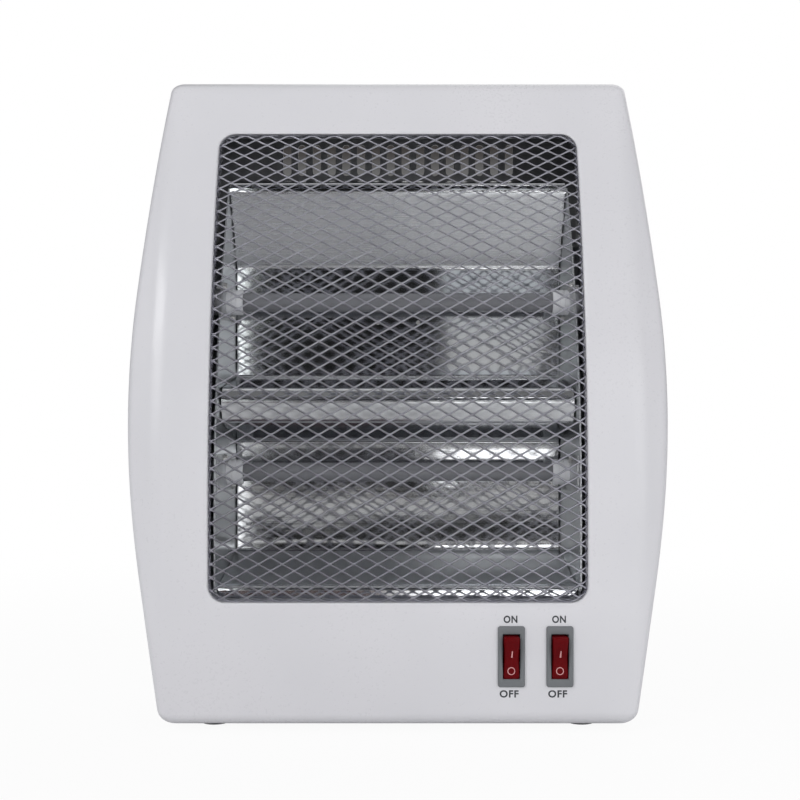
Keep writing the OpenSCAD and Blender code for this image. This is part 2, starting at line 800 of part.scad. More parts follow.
module heating_coil(z) {
  color("dimgray")
  translate([0, front_y + tube_d, z]) {
    rod_x(coil_r, -cap_in_x - core_hidden, cap_in_x + core_hidden);
    rod_x(lead_r, -cap_out_x - lead_out, cap_out_x + lead_out);
  }
}
module heating_coil_upper() {
  heating_coil(tube_high_z);
}
module heating_coil_lower() {
  heating_coil(tube_low_z);
}

// A ceramic end cap on the right
module end_cap(z) {
  color("ivory")
  translate([0, front_y + tube_d, z])
    difference() {
      union() {
        rod_x(cap_r, cap_in_x, cap_out_x);
        rod_x(cap_collar_r, collar_x, collar_x + cap_collar_t);
      }
      rod_x(tube_r + seat_gap, cap_in_x - 1, tube_half + tube_end_gap);
      rod_x(lead_r + seat_gap, cap_in_x, cap_out_x + 1);
    }
}
module end_cap_upper_right() {
  end_cap(tube_high_z);
}
module end_cap_upper_left() {
  mirror([1, 0, 0]) end_cap(tube_high_z);
}
module end_cap_lower_right() {
  end_cap(tube_low_z);
}
module end_cap_lower_left() {
  mirror([1, 0, 0]) end_cap(tube_low_z);
}

// The rear cover's form, moved inwards by inset, with rounded bottom and top back edges
module cover_form(inset, front) {
  r = cover_edge_r - inset;
  low = cover_low + inset;
  high = cover_high - inset;
  intersection() {
    along_x(-far, far)
      rounded([[front, low], [back_y - inset, low], [back_y - inset, high], [front, high]], [0, r, r, 0]);
    along_y(front, back_y) outline(cover_inset + inset);
  }
}

module vent_row(z) {
  for (i = [0 : vent_count - 1])
    translate([(i - (vent_count - 1) / 2) * vent_pitch, 0, 0])
      along_y(wall_y - 1, back_y + 1)
        rounded_box(vent_w, z - vent_h / 2, z + vent_h / 2, vent_w / 2 - 0.05);
}

module rear_cover() {
  color("lightgray")
  difference() {
    cover_form(0, split_y - cover_lap);
    cover_form(cover_wall, split_y - cover_lap - 1);
    vent_row(vent_high_z);
    vent_row(vent_low_z);
    along_y(wall_y - 1, back_y + 1)
      rounded_box(grip_w, grip_z - grip_h / 2, grip_z + grip_h / 2, grip_r);
    for (p = cover_posts)
      translate([p[0], 0, p[1]]) rod_y(screw_r + hole_gap, wall_y - 1, back_y + 1);
    translate([gland_x, 0, gland_z]) rod_y(gland_r + hole_gap, wall_y - 1, back_y + 1);
    for (s = [-1, 1])
      translate([s * foot_x, back_y - foot_back_d, 0]) cylinder(r = foot_peg_r + hole_gap, h = cover_low + 3);
  }
}

module grip_cup() {
  w = grip_w - 2 * hole_gap;
  h = grip_h - 2 * hole_gap;
  color("dimgray")
  difference() {
    union() {
      along_y(back_y - grip_d, back_y + grip_lip_t / 2)
        rounded_box(w, grip_z - h / 2, grip_z + h / 2, grip_r - hole_gap);
      along_y(back_y, back_y + grip_lip_t)
        rounded_box(w + 2 * grip_lip_w, grip_z - h / 2 - grip_lip_w, grip_z + h / 2 + grip_lip_w,
          grip_r - hole_gap + grip_lip_w);
    }
    along_y(back_y - grip_d + grip_wall, back_y + grip_lip_t + 1)
      rounded_box(w - 2 * grip_wall, grip_z - h / 2 + grip_wall, grip_z + h / 2 - grip_wall,
        grip_r - hole_gap - grip_wall);
  }
}

module cover_screws() {
  for (p = cover_posts)
    translate([p[0], back_y + seat_gap, p[1]])
      rotate([0, 0, -90]) pan_screw(pilot_r, 3.6, 2.2, cover_screw_l);
}

flange_y = front_y - switch_flange_t;
body_y = flange_y + switch_flange_t / 3;
switch_body_w = switch_w - 2 * switch_lip_w;
switch_body_h = switch_h - 2 * switch_lip_h;
pivot_y = flange_y + rocker_valley * cos(rock_deg / 2) - 0.3;
well_w = rocker_w + 2 * rocker_gap;
pin_reach = switch_body_w / 2 - 0.6;
well_h = 2 * (rocker_r + rocker_gap);

module switch_frame() {
  color("darkgray")
  difference() {
    union() {
      along_y(flange_y, front_y)
        rounded_box(switch_w, -switch_h / 2, switch_h / 2, 1.2);
      translate([-switch_body_w / 2, body_y, -switch_body_h / 2])
        cube([switch_body_w, switch_body_d, switch_body_h]);
    }
    translate([-well_w / 2, flange_y - 1, -well_h / 2])
      cube([well_w, switch_body_d - 1, well_h]);
    translate([0, pivot_y, 0])
      rod_x(trunnion_r + run_gap, -pin_reach - run_gap, pin_reach + run_gap);
  }
}
module switch_frame_left() {
  translate([switch_left_x, 0, switch_z]) switch_frame();
}
module switch_frame_right() {
  translate([switch_right_x, 0, switch_z]) switch_frame();
}

// A rocker at rest in its off position: the upper half stands out, the lower half lies flush
module rocker() {
  rise = rocker_r * tan(rock_deg / 2);
  color("firebrick")
  translate([0, pivot_y, 0])
    rotate([rock_deg / 2, 0, 0])
      union() {
        along_x(-rocker_w / 2, rocker_w / 2)
          intersection() {
            circle(rocker_r);
            polygon([[4.5, -rocker_r], [4.5, rocker_r], [-rocker_valley - rise + 1.4, rocker_r],
              [-rocker_valley - rise + 0.5, rocker_r - 1], [-rocker_valley, 0],
              [-rocker_valley - rise + 0.5, -rocker_r + 1], [-rocker_valley - rise + 1.4, -rocker_r]]);
          }
        rod_x(trunnion_r, -pin_reach, pin_reach);
      }
}
module rocker_left() {
  translate([switch_left_x, 0, switch_z]) rocker();
}
module rocker_right() {
  translate([switch_right_x, 0, switch_z]) rocker();
}

// Width, length and thickness of the flat tabs
tab = [4.8, 8, 0.8];
tab_pitch = 9;
module switch_terminals() {
  color("goldenrod")
  at_switches()
    for (z = [-tab_pitch, 0, tab_pitch])
      translate([-tab[0] / 2, body_y + switch_body_d, z - tab[2] / 2]) cube(tab);
}

collar_z = floor_z + 1 + plunger_travel + seat_gap;
collar_h = 1.6;
collar_r = tip_post_x - tip_post_r - 0.4;
module tip_switch_body() {
  color("dimgray")
  difference() {
    translate([plunger_x - tip_body[0] / 2, plunger_y - tip_body[1] / 2, tip_body_z])
      cube(tip_body);
    translate([plunger_x, plunger_y, tip_body_z - 1]) cylinder(r = stem_r + run_gap, h = 13);
    for (s = [-1, 1])
      translate([plunger_x + s * tip_post_x, plunger_y, tip_body_z - 1]) cylinder(r = small_screw_r + hole_gap, h = tip_body[2] + 2);
  }
}

module tip_plunger() {
  color("white")
  translate([plunger_x, plunger_y, 0]) {
    translate([0, 0, plunger_lift]) cylinder(r = plunger_r, h = collar_z - plunger_lift + 0.5);
    translate([0, 0, collar_z]) cylinder(r = collar_r, h = collar_h);
    translate([0, 0, collar_z]) cylinder(r = stem_r, h = tip_body_z + 9 - collar_z);
  }
}

module plunger_spring() {
  color("silver")
  translate([plunger_x, plunger_y, collar_z + collar_h])
    difference() {
      cylinder(r = collar_r - 0.6, h = tip_body_z - collar_z - collar_h);
      translate([0, 0, -1]) cylinder(r = stem_r + 0.4, h = 30);
    }
}

module tip_switch_screws() {
  for (s = [-1, 1])
    translate([plunger_x + s * tip_post_x, plunger_y, tip_body_z + tip_body[2] + seat_gap])
      rotate([0, 90, 0]) pan_screw(small_screw_r, 2.2, 1.4, tip_screw_l);
}

// The disc thermostat on the back of the upper trough: its can, its plate and its tabs
cutout_y = front_y + trough_d + reflector_t;
can_r = 8.2;
can_h = 9;
cutout_plate = [30, 0.8, 10];
cutout_tab = [0.8, 9, 6];
module at_cutout_screws(y) {
  for (s = [-1, 1])
    translate([s * cutout_screw_x, y, cutout_z]) children();
}
module thermal_cutout() {
  color("silver")
  difference() {
    translate([0, 0, cutout_z]) {
      rod_y(can_r, cutout_y + seat_gap, cutout_y + can_h);
      translate([-cutout_plate[0] / 2, cutout_y + seat_gap, -cutout_plate[2] / 2]) cube(cutout_plate);
      for (s = [-1, 1])
        translate([s * can_r / 2 - cutout_tab[0] / 2, cutout_y + can_h - 1, -cutout_tab[2] / 2]) cube(cutout_tab);
    }
    at_cutout_screws(cutout_y) rod_y(cutout_screw_r + 2 * hole_gap, -1, 2);
  }
}

module cutout_screws() {
  at_cutout_screws(cutout_y + cutout_plate[1] + 2 * seat_gap)
    rotate([0, 0, -90]) pan_screw(cutout_screw_r, cutout_screw_r + 0.9, 1.2, 3.4);
}

// The ceramic block that joins the cord to the wiring, beside the cord inlet
block = [34, 14, 14];
block_x = gland_x + gland_r + 4;
block_y = back_y - block[1] - 7;
block_z = cover_low + cover_wall + seat_gap;
way = 2;
module terminal_block() {
  color("ivory")
  difference() {
    translate([block_x, block_y, block_z]) cube(block);
    for (i = [-1 : 1], j = [-1, 1])
      translate([block_x + block[0] / 2 + i * 11, block_y + block[1] / 2 + j * 3, block_z + block[2] - 6])
        cylinder(r = way, h = 20);
  }
}

gland_lip = 3;
nut_t = 5;
module cable_gland() {
  color("dimgray")
  translate([gland_x, 0, gland_z])
    difference() {
      union() {
        rod_y(gland_r, back_y - gland_in, back_y + gland_out);
        rod_y(gland_r + gland_lip, back_y + seat_gap, back_y + gland_lip);
      }
      rod_y(gland_bore_r, back_y - gland_in - 1, back_y + gland_out + 1);
    }
}

module gland_nut() {
  color("dimgray")
  translate([gland_x, wall_y - seat_gap, gland_z])
    rotate([90, 0, 0])
      difference() {
        cylinder(r = gland_r + gland_lip + 1, h = nut_t, $fn = 6);
        translate([0, 0, -1]) cylinder(r = gland_r + run_gap, h = nut_t + 2);
      }
}

// A rubber foot with a peg whose head has been pulled through a wall
module foot(x, y, height, wall) {
  color("dimgray")
  translate([x, y, 0]) {
    cylinder(r1 = foot_r - 0.8, r2 = foot_r, h = 1);
    translate([0, 0, 1]) cylinder(r = foot_r, h = height - 1);
    translate([0, 0, height - 0.5]) cylinder(r = foot_peg_r, h = wall + seat_gap + 1);
    translate([0, 0, height + wall + seat_gap]) cylinder(r1 = foot_peg_r + 0.7, r2 = foot_peg_r - 0.5, h = 2.5);
  }
}
module foot_front_left() {
  foot(-foot_x, front_y + foot_front_d, body_bottom, bezel_wall);
}
module foot_front_right() {
  foot(foot_x, front_y + foot_front_d, body_bottom, bezel_wall);
}
module foot_rear_left() {
  foot(-foot_x, back_y - foot_back_d, cover_low, cover_wall);
}
module foot_rear_right() {
  foot(foot_x, back_y - foot_back_d, cover_low, cover_wall);
}

front_bezel();
grille_lower();
grille_middle();
grille_upper();
guard_rim();
reflector();
side_plate_left();
side_plate_right();
quartz_tube_upper();
quartz_tube_lower();
heating_coil_upper();
heating_coil_lower();
end_cap_upper_left();
end_cap_upper_right();
end_cap_lower_left();
end_cap_lower_right();
tube_bracket_upper_left();
tube_bracket_upper_right();
tube_bracket_lower_left();
tube_bracket_lower_right();
bracket_screws();
reflector_screws();
rear_cover();
grip_cup();
cover_screws();
switch_frame_left();
switch_frame_right();
rocker_left();
rocker_right();
switch_terminals();
tip_switch_body();
tip_plunger();
plunger_spring();
tip_switch_screws();
thermal_cutout();
cutout_screws();
terminal_block();
cable_gland();
gland_nut();
foot_front_left();
foot_front_right();
foot_rear_left();
foot_rear_right();
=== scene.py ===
"""Looks of a free-standing quartz heater with two tubes, a polished double trough and an expanded-metal guard.

Sizes are in millimetres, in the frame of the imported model: the front faces -Y, Z is up, and the floor is at 0.
"""
import logging
import math
from dataclasses import dataclass, field
from enum import Enum
from typing import Callable, Sequence, Union

import bpy
import numpy as np
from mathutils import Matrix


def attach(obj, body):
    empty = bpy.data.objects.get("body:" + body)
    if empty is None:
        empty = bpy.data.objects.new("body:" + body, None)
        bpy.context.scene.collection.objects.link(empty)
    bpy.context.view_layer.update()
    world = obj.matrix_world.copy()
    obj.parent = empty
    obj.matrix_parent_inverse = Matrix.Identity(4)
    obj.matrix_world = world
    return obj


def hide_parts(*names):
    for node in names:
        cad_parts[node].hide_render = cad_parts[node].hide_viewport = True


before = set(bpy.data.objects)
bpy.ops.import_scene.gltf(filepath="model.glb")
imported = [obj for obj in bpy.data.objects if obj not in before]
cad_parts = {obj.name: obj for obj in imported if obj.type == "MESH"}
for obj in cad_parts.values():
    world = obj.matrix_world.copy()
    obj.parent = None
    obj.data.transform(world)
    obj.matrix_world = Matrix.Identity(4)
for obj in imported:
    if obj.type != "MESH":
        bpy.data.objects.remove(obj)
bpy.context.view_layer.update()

log = logging.getLogger("heater")
MM = 0.001
HOUSING = "housing"
SIDES = ((-1, "left"), (1, "right"))
Array = np.ndarray
Pair = tuple[float, float]
Triple = tuple[float, float, float]


# Shader tools


class Value:
    """A shader socket that takes part in Python expressions, each of which adds a Math node."""

    def __init__(self, nodes: "Nodes", socket: bpy.types.NodeSocket) -> None:
        """Wraps one output socket of a node tree."""
        self.nodes = nodes
        self.socket = socket

    def _math(self, operation: str, first: "Operand", second: "Operand") -> "Value":
        """One Math node on two operands."""
        return self.nodes.node("ShaderNodeMath", {"operation": operation}, {0: first, 1: second})

    def __add__(self, other: "Operand") -> "Value":
        """self + other."""
        return self._math("ADD", self, other)

    def __rsub__(self, other: "Operand") -> "Value":
        """other - self."""
        return self._math("SUBTRACT", other, self)

    def __mul__(self, other: "Operand") -> "Value":
        """self * other."""
        return self._math("MULTIPLY", self, other)

    def above(self, edge: float, width: float) -> "Value":
        """A smooth step from 0 to 1 over width, centred on edge."""
        return self.nodes.step(self, (edge - width / 2, edge + width / 2), (0.0, 1.0))


Operand = Union[Value, float, Sequence[float]]


class Nodes:
    """The node tree of a material or a world, filled by short calls."""

    def __init__(self, owner: bpy.types.ID, output: str) -> None:
        """Empties a tree.

        Args:
            owner: The material or world.
            output: The type of its output node.
        """
        owner.use_nodes = True
        self.tree = owner.node_tree
        self.tree.nodes.clear()
        self.end = self.tree.nodes.new(output).inputs[0]

    def feed(self, socket: bpy.types.NodeSocket, value: Operand) -> None:
        """Links a value to a socket, or sets the socket where the value is a plain number or colour."""
        if isinstance(value, Value):
            self.tree.links.new(value.socket, socket)
        elif isinstance(value, (int, float)) or len(value) == len(socket.default_value):
            socket.default_value = value
        else:
            socket.default_value = (*value, 1.0)

    def node(self, kind: str, settings: dict[str, object], inputs: dict[Union[int, str], Operand],
             output: Union[int, str] = 0) -> Value:
        """Adds one node.

        Args:
            kind: The node's type.
            settings: Its properties, set before its sockets.
            inputs: What goes to its sockets, by number or name.
            output: Which output comes back.

        Returns:
            The output as a Value.
        """
        made = self.tree.nodes.new(kind)
        for key, setting in settings.items():
            setattr(made, key, setting)
        for key, value in inputs.items():
            self.feed(made.inputs[key], value)
        return Value(self, made.outputs[output])

    def axis(self, spot: Value, name: str) -> Value:
        """One coordinate of a vector."""
        return self.node("ShaderNodeSeparateXYZ", {}, {0: spot}, name)

    def step(self, value: Value, start: Pair, end: Pair) -> Value:
        """A smooth turn of a value from the range start to the range end."""
        inputs = dict(enumerate((value, *start, *end)))
        return self.node("ShaderNodeMapRange", {"interpolation_type": "SMOOTHSTEP"}, inputs)

    def mix(self, share: Value, first: Value, second: Value) -> Value:
        """A mix of two shaders."""
        return self.node("ShaderNodeMixShader", {}, {0: share, 1: first, 2: second})

    def ray(self, kind: str) -> Value:
        """1 for rays of one kind, else 0."""
        return self.node("ShaderNodeLightPath", {}, {}, f"Is {kind} Ray")


class Paint(Nodes):
    """One material's node tree, with a Principled shader."""

    def __init__(self, name: str) -> None:
        """Starts an empty material.

        Args:
            name: The material's name.
        """
        self.material = bpy.data.materials.new(name)
        super().__init__(self.material, "ShaderNodeOutputMaterial")
        principled = self.tree.nodes.new("ShaderNodeBsdfPrincipled")
        self.inputs = principled.inputs
        self.shader = Value(self, principled.outputs[0])
        self.feed(self.end, self.shader)

    def place(self, scale: Sequence[float] = (1, 1, 1), turn: Sequence[float] = (0, 0, 0)) -> Value:
        """Object coordinates in metres, scaled and turned by a Mapping node."""
        spot = self.node("ShaderNodeTexCoord", {}, {}, "Object")
        return self.node("ShaderNodeMapping", {}, {"Vector": spot, "Scale": scale, "Rotation": turn})

    def noise(self, spot: Value, scale: float, detail: float, rough: float = 0.5) -> Value:
        """Fractal noise from 0 to 1."""
        return self.node("ShaderNodeTexNoise", {},
                         {"Vector": spot, "Scale": scale, "Detail": detail, "Roughness": rough})

    def blend(self, share: Operand, first: Operand, second: Operand) -> Value:
        """A mix of two colours. Sockets 6, 7 and 2 are the Mix node's colour inputs and output."""
        return self.node("ShaderNodeMix", {"data_type": "RGBA"}, {0: share, 6: first, 7: second}, 2)

    def bump(self, height: Operand, depth: float, strength: float = 1.0) -> Value:
        """A normal from a height of 0 to 1 over a depth in metres."""
        return self.node("ShaderNodeBump", {}, {"Height": height, "Distance": depth, "Strength": strength})

    def set(self, **sockets: Operand) -> None:
        """Sets the shader's sockets, named in small letters with _ for a space."""
        names = {s.name.lower().replace(" ", "_"): s for s in self.inputs}
        for key, value in sockets.items():
            self.feed(names[key], value)


# Finishes


@dataclass(frozen=True)
class Surface:
    """What every finish has: a name, the part's material slot, a colour, and a shade that it drifts to."""

    name: str
    slot: str
    colour: Triple
    shade: Triple

    def paint(self, p: Paint) -> None:
        """Sets up the shader of a new material."""
        raise NotImplementedError

    def make(self) -> bpy.types.Material:
        """Builds the material."""
        p = Paint(self.name)
        self.paint(p)
        return p.material


@dataclass(frozen=True)
class Moulding(Surface):
    """Moulded plastic: one colour with a faint cloud, a fine skin texture and a slightly uneven gloss."""

    roughness: float = 0.3
    grain: float = 900.0
    relief: float = 2e-6
    coat: float = 0.0

    def paint(self, p: Paint) -> None:
        """Sets up the shader."""
        spot = p.place()
        cloud = p.noise(spot, 14.0, 2.0)
        skin = p.noise(spot, self.grain, 4.0, 0.6)
        p.set(base_color=p.blend(cloud.above(0.5, 0.7), self.colour, self.shade),
              roughness=skin * 0.12 + (self.roughness - 0.06) + cloud * 0.04,
              normal=p.bump(skin, self.relief), coat_weight=self.coat, coat_roughness=0.12, ior=1.5)


@dataclass(frozen=True)
class RolledSteel(Surface):
    """Bright rolled sheet: fine grain lines along the sheet, soft clouds of haze, and a few rub marks.

    Each entry of dulled is a low height, a high height and the roughness that forming added between them,
    heights in metres.
    """

    roughness: float = 0.16
    stretch: Triple = (6.0, 420.0, 420.0)
    dulled: tuple[Triple, ...] = ()

    def paint(self, p: Paint) -> None:
        """Sets up the shader."""
        grain = p.noise(p.place(self.stretch), 1.0, 5.0, 0.65)
        haze = p.noise(p.place((9.0, 30.0, 30.0)), 1.0, 3.0)
        rub = p.noise(p.place((60.0, 900.0, 900.0), (0.2, 0.4, 0.1)), 1.0, 2.0).above(0.72, 0.06)
        height = p.axis(p.place(), "Z")
        dull: Operand = 0.0
        for low, high, amount in self.dulled:
            dull = height.above(low, 0.001) * (1 - height.above(high, 0.001)) * amount + dull
        p.set(base_color=p.blend(haze * 0.6 + grain * 0.4, self.shade, self.colour), metallic=1.0,
              roughness=grain * 0.06 + haze * 0.04 + rub * 0.10 + (self.roughness - 0.05) + dull,
              normal=p.bump(grain, 1.2e-5))


@dataclass(frozen=True)
class PlatedSteel(Surface):
    """Zinc plating: a pale metal with small crystal flakes and a satin surface."""

    roughness: float = 0.36
    flake: float = 900.0

    def paint(self, p: Paint) -> None:
        """Sets up the shader."""
        spot = p.place()
        flakes = p.node("ShaderNodeTexVoronoi", {}, {"Vector": spot, "Scale": self.flake}, "Distance")
        dull = p.noise(spot, 60.0, 4.0)
        p.set(base_color=p.blend(dull.above(0.5, 0.5), self.colour, self.shade), metallic=1.0,
              roughness=dull * 0.2 + flakes * 0.12 + (self.roughness - 0.14), normal=p.bump(flakes, 4e-6, 0.5))


@dataclass(frozen=True)
class PowderCoat(Surface):
    """Baked powder paint, pale, with an orange-peel surface and specks of dust, and a darker inner face of
    painted shade.

    The painted shade lies in front of the plane inner_y, within inner_half of the heater's middle and between
    the two heights of inner_z, which keep clear of the rounded edges. All are in metres.
    """

    roughness: float = 0.42
    bare: Triple = (0.20, 0.205, 0.215)
    inner_half: float = 0.105
    inner_y: float = 0.0549
    inner_z: Pair = (0.0105, 0.3362)
    soft: float = 0.0003

    def paint(self, p: Paint) -> None:
        """Sets up the shader."""
        spot = p.place()
        peel = p.noise(spot, 420.0, 3.0, 0.55)
        dust = p.noise(spot, 38.0, 6.0, 0.7)
        across, height = p.axis(spot, "X"), p.axis(spot, "Z")
        # Painted shade: the cover's inner face takes a darker colour in place of the paint, standing for the
        # shade inside the housing.
        ahead = 1 - p.axis(spot, "Y").above(self.inner_y, self.soft)
        inner = ahead * (1 - (across * across).above(self.inner_half ** 2, 0.001))
        low, high = (height.above(edge, self.soft) for edge in self.inner_z)
        painted = p.blend(dust.above(0.62, 0.3), self.colour, self.shade)
        p.set(base_color=p.blend(inner * low * (1 - high), painted, self.bare),
              roughness=peel * 0.16 + (self.roughness - 0.08), normal=p.bump(peel, 1.6e-5, 0.8))


@dataclass(frozen=True)
class Frosted(Surface):
    """Satin quartz glass: milky, with drawing lines along the tube."""

    def paint(self, p: Paint) -> None:
        """Sets up the shader."""
        lines = p.noise(p.place((4.0, 700.0, 700.0)), 1.0, 3.0)
        milk = p.noise(p.place(), 120.0, 4.0)
        p.set(base_color=p.blend(milk, self.colour, self.shade), transmission_weight=0.55, ior=1.46,
              roughness=lines * 0.10 + milk * 0.08 + 0.11, normal=p.bump(lines, 6e-6))


@dataclass(frozen=True)
class RedLens(Surface):
    """Deep red see-through plastic of a switch rocker, glossy, with the colour darker in its depth."""

    def paint(self, p: Paint) -> None:
        """Sets up the shader."""
        cloud = p.noise(p.place(), 160.0, 3.0)
        p.set(base_color=p.blend(cloud, self.colour, self.shade), roughness=cloud * 0.08 + 0.24,
              specular_ior_level=0.1, ior=1.45, subsurface_weight=0.1,
              subsurface_radius=(0.004, 0.0006, 0.0004), subsurface_scale=0.4)


class Finish(Enum):
    """The finishes of the heater's pieces."""

    BEZEL = Moulding("bezel_gloss_white", "white_plastic", (0.735, 0.730, 0.760), (0.70, 0.70, 0.73),
                     0.27, 700.0, 1.5e-6, 0.25)
    POST = Moulding("post_white", "white_plastic", (0.70, 0.70, 0.70), (0.62, 0.62, 0.62), 0.4)
    GUARD = PlatedSteel("guard_expanded_steel", "guard_steel", (0.57, 0.57, 0.63), (0.44, 0.44, 0.50),
                        0.36, 1600.0)
    MIRROR = RolledSteel("reflector_rolled_steel", "reflector_steel", (0.80, 0.815, 0.835),
                         (0.68, 0.695, 0.715), 0.07,
                         dulled=((0.0725, 0.0858, 0.22), (0.134, 0.1455, 0.05),
                                 (0.157, 0.1676, 0.13), (0.240, 0.2785, 0.20)))
    PLATE = RolledSteel("side_plate_steel", "reflector_steel", (0.74, 0.76, 0.78), (0.60, 0.62, 0.64), 0.30,
                        stretch=(420.0, 420.0, 12.0))
    QUARTZ = Frosted("satin_quartz", "quartz", (0.47, 0.48, 0.51), (0.35, 0.36, 0.39))
    COIL = PlatedSteel("resistance_wire", "heating_wire", (0.26, 0.24, 0.22), (0.14, 0.13, 0.13), 0.5)
    CERAMIC = Moulding("cap_ceramic", "ceramic", (0.82, 0.83, 0.86), (0.74, 0.75, 0.78), 0.38, 380.0, 1.2e-5)
    ZINC = PlatedSteel("bracket_zinc", "bracket_steel", (0.70, 0.71, 0.72), (0.52, 0.53, 0.55), 0.34)
    SCREW = PlatedSteel("screw_zinc", "screw_steel", (0.68, 0.68, 0.67), (0.50, 0.50, 0.50), 0.3)
    COVER = PowderCoat("cover_powder_coat", "painted_cover", (0.66, 0.67, 0.68), (0.60, 0.61, 0.62))
    GREY = Moulding("switch_grey", "grey_plastic", (0.185, 0.195, 0.205), (0.155, 0.165, 0.175),
                    0.4, 1500.0, 6e-6)
    RED = RedLens("rocker_red", "red_rocker", (0.15, 0.002, 0.004), (0.10, 0.001, 0.003))
    MARK = Moulding("rocker_mark", "red_rocker", (0.78, 0.42, 0.42), (0.70, 0.34, 0.34), 0.4)
    INK = Moulding("print_ink", "black_plastic", (0.045, 0.05, 0.06), (0.03, 0.033, 0.04), 0.5)
    BRASS = PlatedSteel("brass_tabs", "brass_tab", (0.78, 0.60, 0.28), (0.60, 0.44, 0.20), 0.3)
    BLACK = Moulding("black_nylon", "black_plastic", (0.022, 0.022, 0.024), (0.034, 0.034, 0.036),
                     0.42, 900.0, 1e-5)
    SPRING = PlatedSteel("spring_wire", "spring_steel", (0.56, 0.56, 0.57), (0.40, 0.40, 0.41), 0.28)
    RUBBER = Moulding("foot_rubber", "foot_rubber", (0.22, 0.22, 0.23), (0.28, 0.28, 0.29), 0.72, 500.0, 2e-5)


class Wardrobe:
    """Makes each finish once and hands it out."""

    def __init__(self) -> None:
        """Starts with no material made."""
        self.made: dict[Finish, bpy.types.Material] = {}

    def material(self, finish: Finish) -> bpy.types.Material:
        """The material of a finish."""
        if finish not in self.made:
            self.made[finish] = finish.value.make()
        return self.made[finish]

    def dress(self, piece: bpy.types.Object, finish: Finish) -> None:
        """Puts a finish on a piece, in place of all that it had."""
        piece.data.materials.clear()
        piece.data.materials.append(self.material(finish))


WARDROBE = Wardrobe()

# Mesh tools


def unit(v: Array) -> Array:
    """Vectors of length 1."""
    return v / np.maximum(np.linalg.norm(v, axis=-1, keepdims=True), 1e-12)


def left_of(t: Array) -> Array:
    """Plane directions turned left by a quarter."""
    return np.stack([-t[:, 1], t[:, 0]], -1)


def arc(centre: Sequence[float], r: float, start: float, turn: float, steps: int) -> Array:
    """Points along an arc in the plane, turning left from the angle start, both angles in radians."""
    t = start + np.linspace(0, turn, steps + 1)
    return np.asarray(centre) + r * np.stack([np.cos(t), np.sin(t)], -1)


def run_of(path: Array) -> Array:
    """Length of a path up to each of its points."""
    return np.concatenate([[0], np.cumsum(np.linalg.norm(np.diff(path, axis=0), axis=1))])


def placed(name: str, data: bpy.types.ID) -> bpy.types.Object:
    """A new object in the scene, at the origin."""
    made = bpy.data.objects.new(name, data)
    bpy.context.scene.collection.objects.link(made)
    return made


def drawn(piece: bpy.types.Object) -> bpy.types.Mesh:
    """A new mesh of a text, or of a piece with its modifiers, as it is drawn."""
    graph = bpy.context.evaluated_depsgraph_get()
    return bpy.data.meshes.new_from_object(piece.evaluated_get(graph))


def places_of(mesh: bpy.types.Mesh) -> Array:
    """The places of a mesh's points, in metres."""
    co = np.zeros(len(mesh.vertices) * 3)
    mesh.vertices.foreach_get("co", co)
    return co.reshape(-1, 3)


def quads_of(rows: int, columns: int, closed: bool) -> Array:
    """The quads between rings of points, wound so that rows x columns is outwards.

    Args:
        rows: Number of rings.
        columns: Points in each ring.
        closed: Whether the last ring joins the first.

    Returns:
        An array of four point numbers for each quad, with the points numbered ring by ring.
    """
    i = np.arange(rows if closed else rows - 1)[:, None]
    a, b = i * columns, (i + 1) % rows * columns
    c = np.arange(columns)[None, :]
    d = (c + 1) % columns
    return np.stack([a + c, b + c, b + d, a + d], -1).reshape(-1, 4)


def mesh_of(name: str, points: Array, faces: Sequence[Array]) -> bpy.types.Object:
    """An object at the origin from points in millimetres.

    Args:
        name: The piece's name.
        points: An array of places.
        faces: Arrays of point numbers, each with faces of one count of corners.

    Returns:
        The new object.
    """
    mesh = bpy.data.meshes.new(name)
    mesh.vertices.add(len(points))
    mesh.vertices.foreach_set("co", np.ascontiguousarray(points * MM, np.float32).ravel())
    corners = np.concatenate([f.ravel() for f in faces]).astype(np.int32)
    counts = np.concatenate([np.full(len(f), f.shape[1]) for f in faces])
    mesh.loops.add(len(corners))
    mesh.loops.foreach_set("vertex_index", corners)
    mesh.polygons.add(len(counts))
    mesh.polygons.foreach_set("loop_start", np.concatenate([[0], np.cumsum(counts)[:-1]]).astype(np.int32))
    mesh.update(calc_edges=True)
    mesh.validate()
    return placed(name, mesh)


def outwards(piece: bpy.types.Object) -> bpy.types.Object:
    """Turns the faces of a closed piece outwards where its signed volume is negative."""
    mesh = piece.data
    mesh.calc_loop_triangles()
    corners = np.zeros(len(mesh.loop_triangles) * 3, np.int32)
    mesh.loop_triangles.foreach_get("vertices", corners)
    t = places_of(mesh)[corners.reshape(-1, 3)]
    if np.einsum("ij,ij->i", t[:, 0], np.cross(t[:, 1], t[:, 2])).sum() < 0:
        mesh.flip_normals()
    return piece


def many(name: str, grids: Sequence[Array]) -> bpy.types.Object:
    """One piece of several grids of the same size, each a tube of rings with a face across either end."""
    rows, columns = grids[0].shape[:2]
    base = quads_of(rows, columns, False)
    ends = np.stack([np.arange(columns), np.arange(columns)[::-1] + (rows - 1) * columns])
    steps = np.arange(len(grids))[:, None, None] * rows * columns
    return outwards(mesh_of(name, np.concatenate([g.reshape(-1, 3) for g in grids]),
                            [(base[None] + steps).reshape(-1, 4), (ends[None] + steps).reshape(-1, columns)]))


def grid(name: str, points: Array, closed: bool = True) -> bpy.types.Object:
    """A piece from a grid of points, whose last ring joins the first or, if not closed, has its ends capped."""
    if not closed:
        return many(name, [points])
    return outwards(mesh_of(name, points.reshape(-1, 3), [quads_of(*points.shape[:2], True)]))


def smooth(piece: bpy.types.Object, angle: float = 35.0) -> bpy.types.Object:
    """Smooth shading, with edges sharper than the angle kept."""
    piece.data.shade_smooth()
    piece.data.set_sharp_from_angle(angle=math.radians(angle))
    return piece


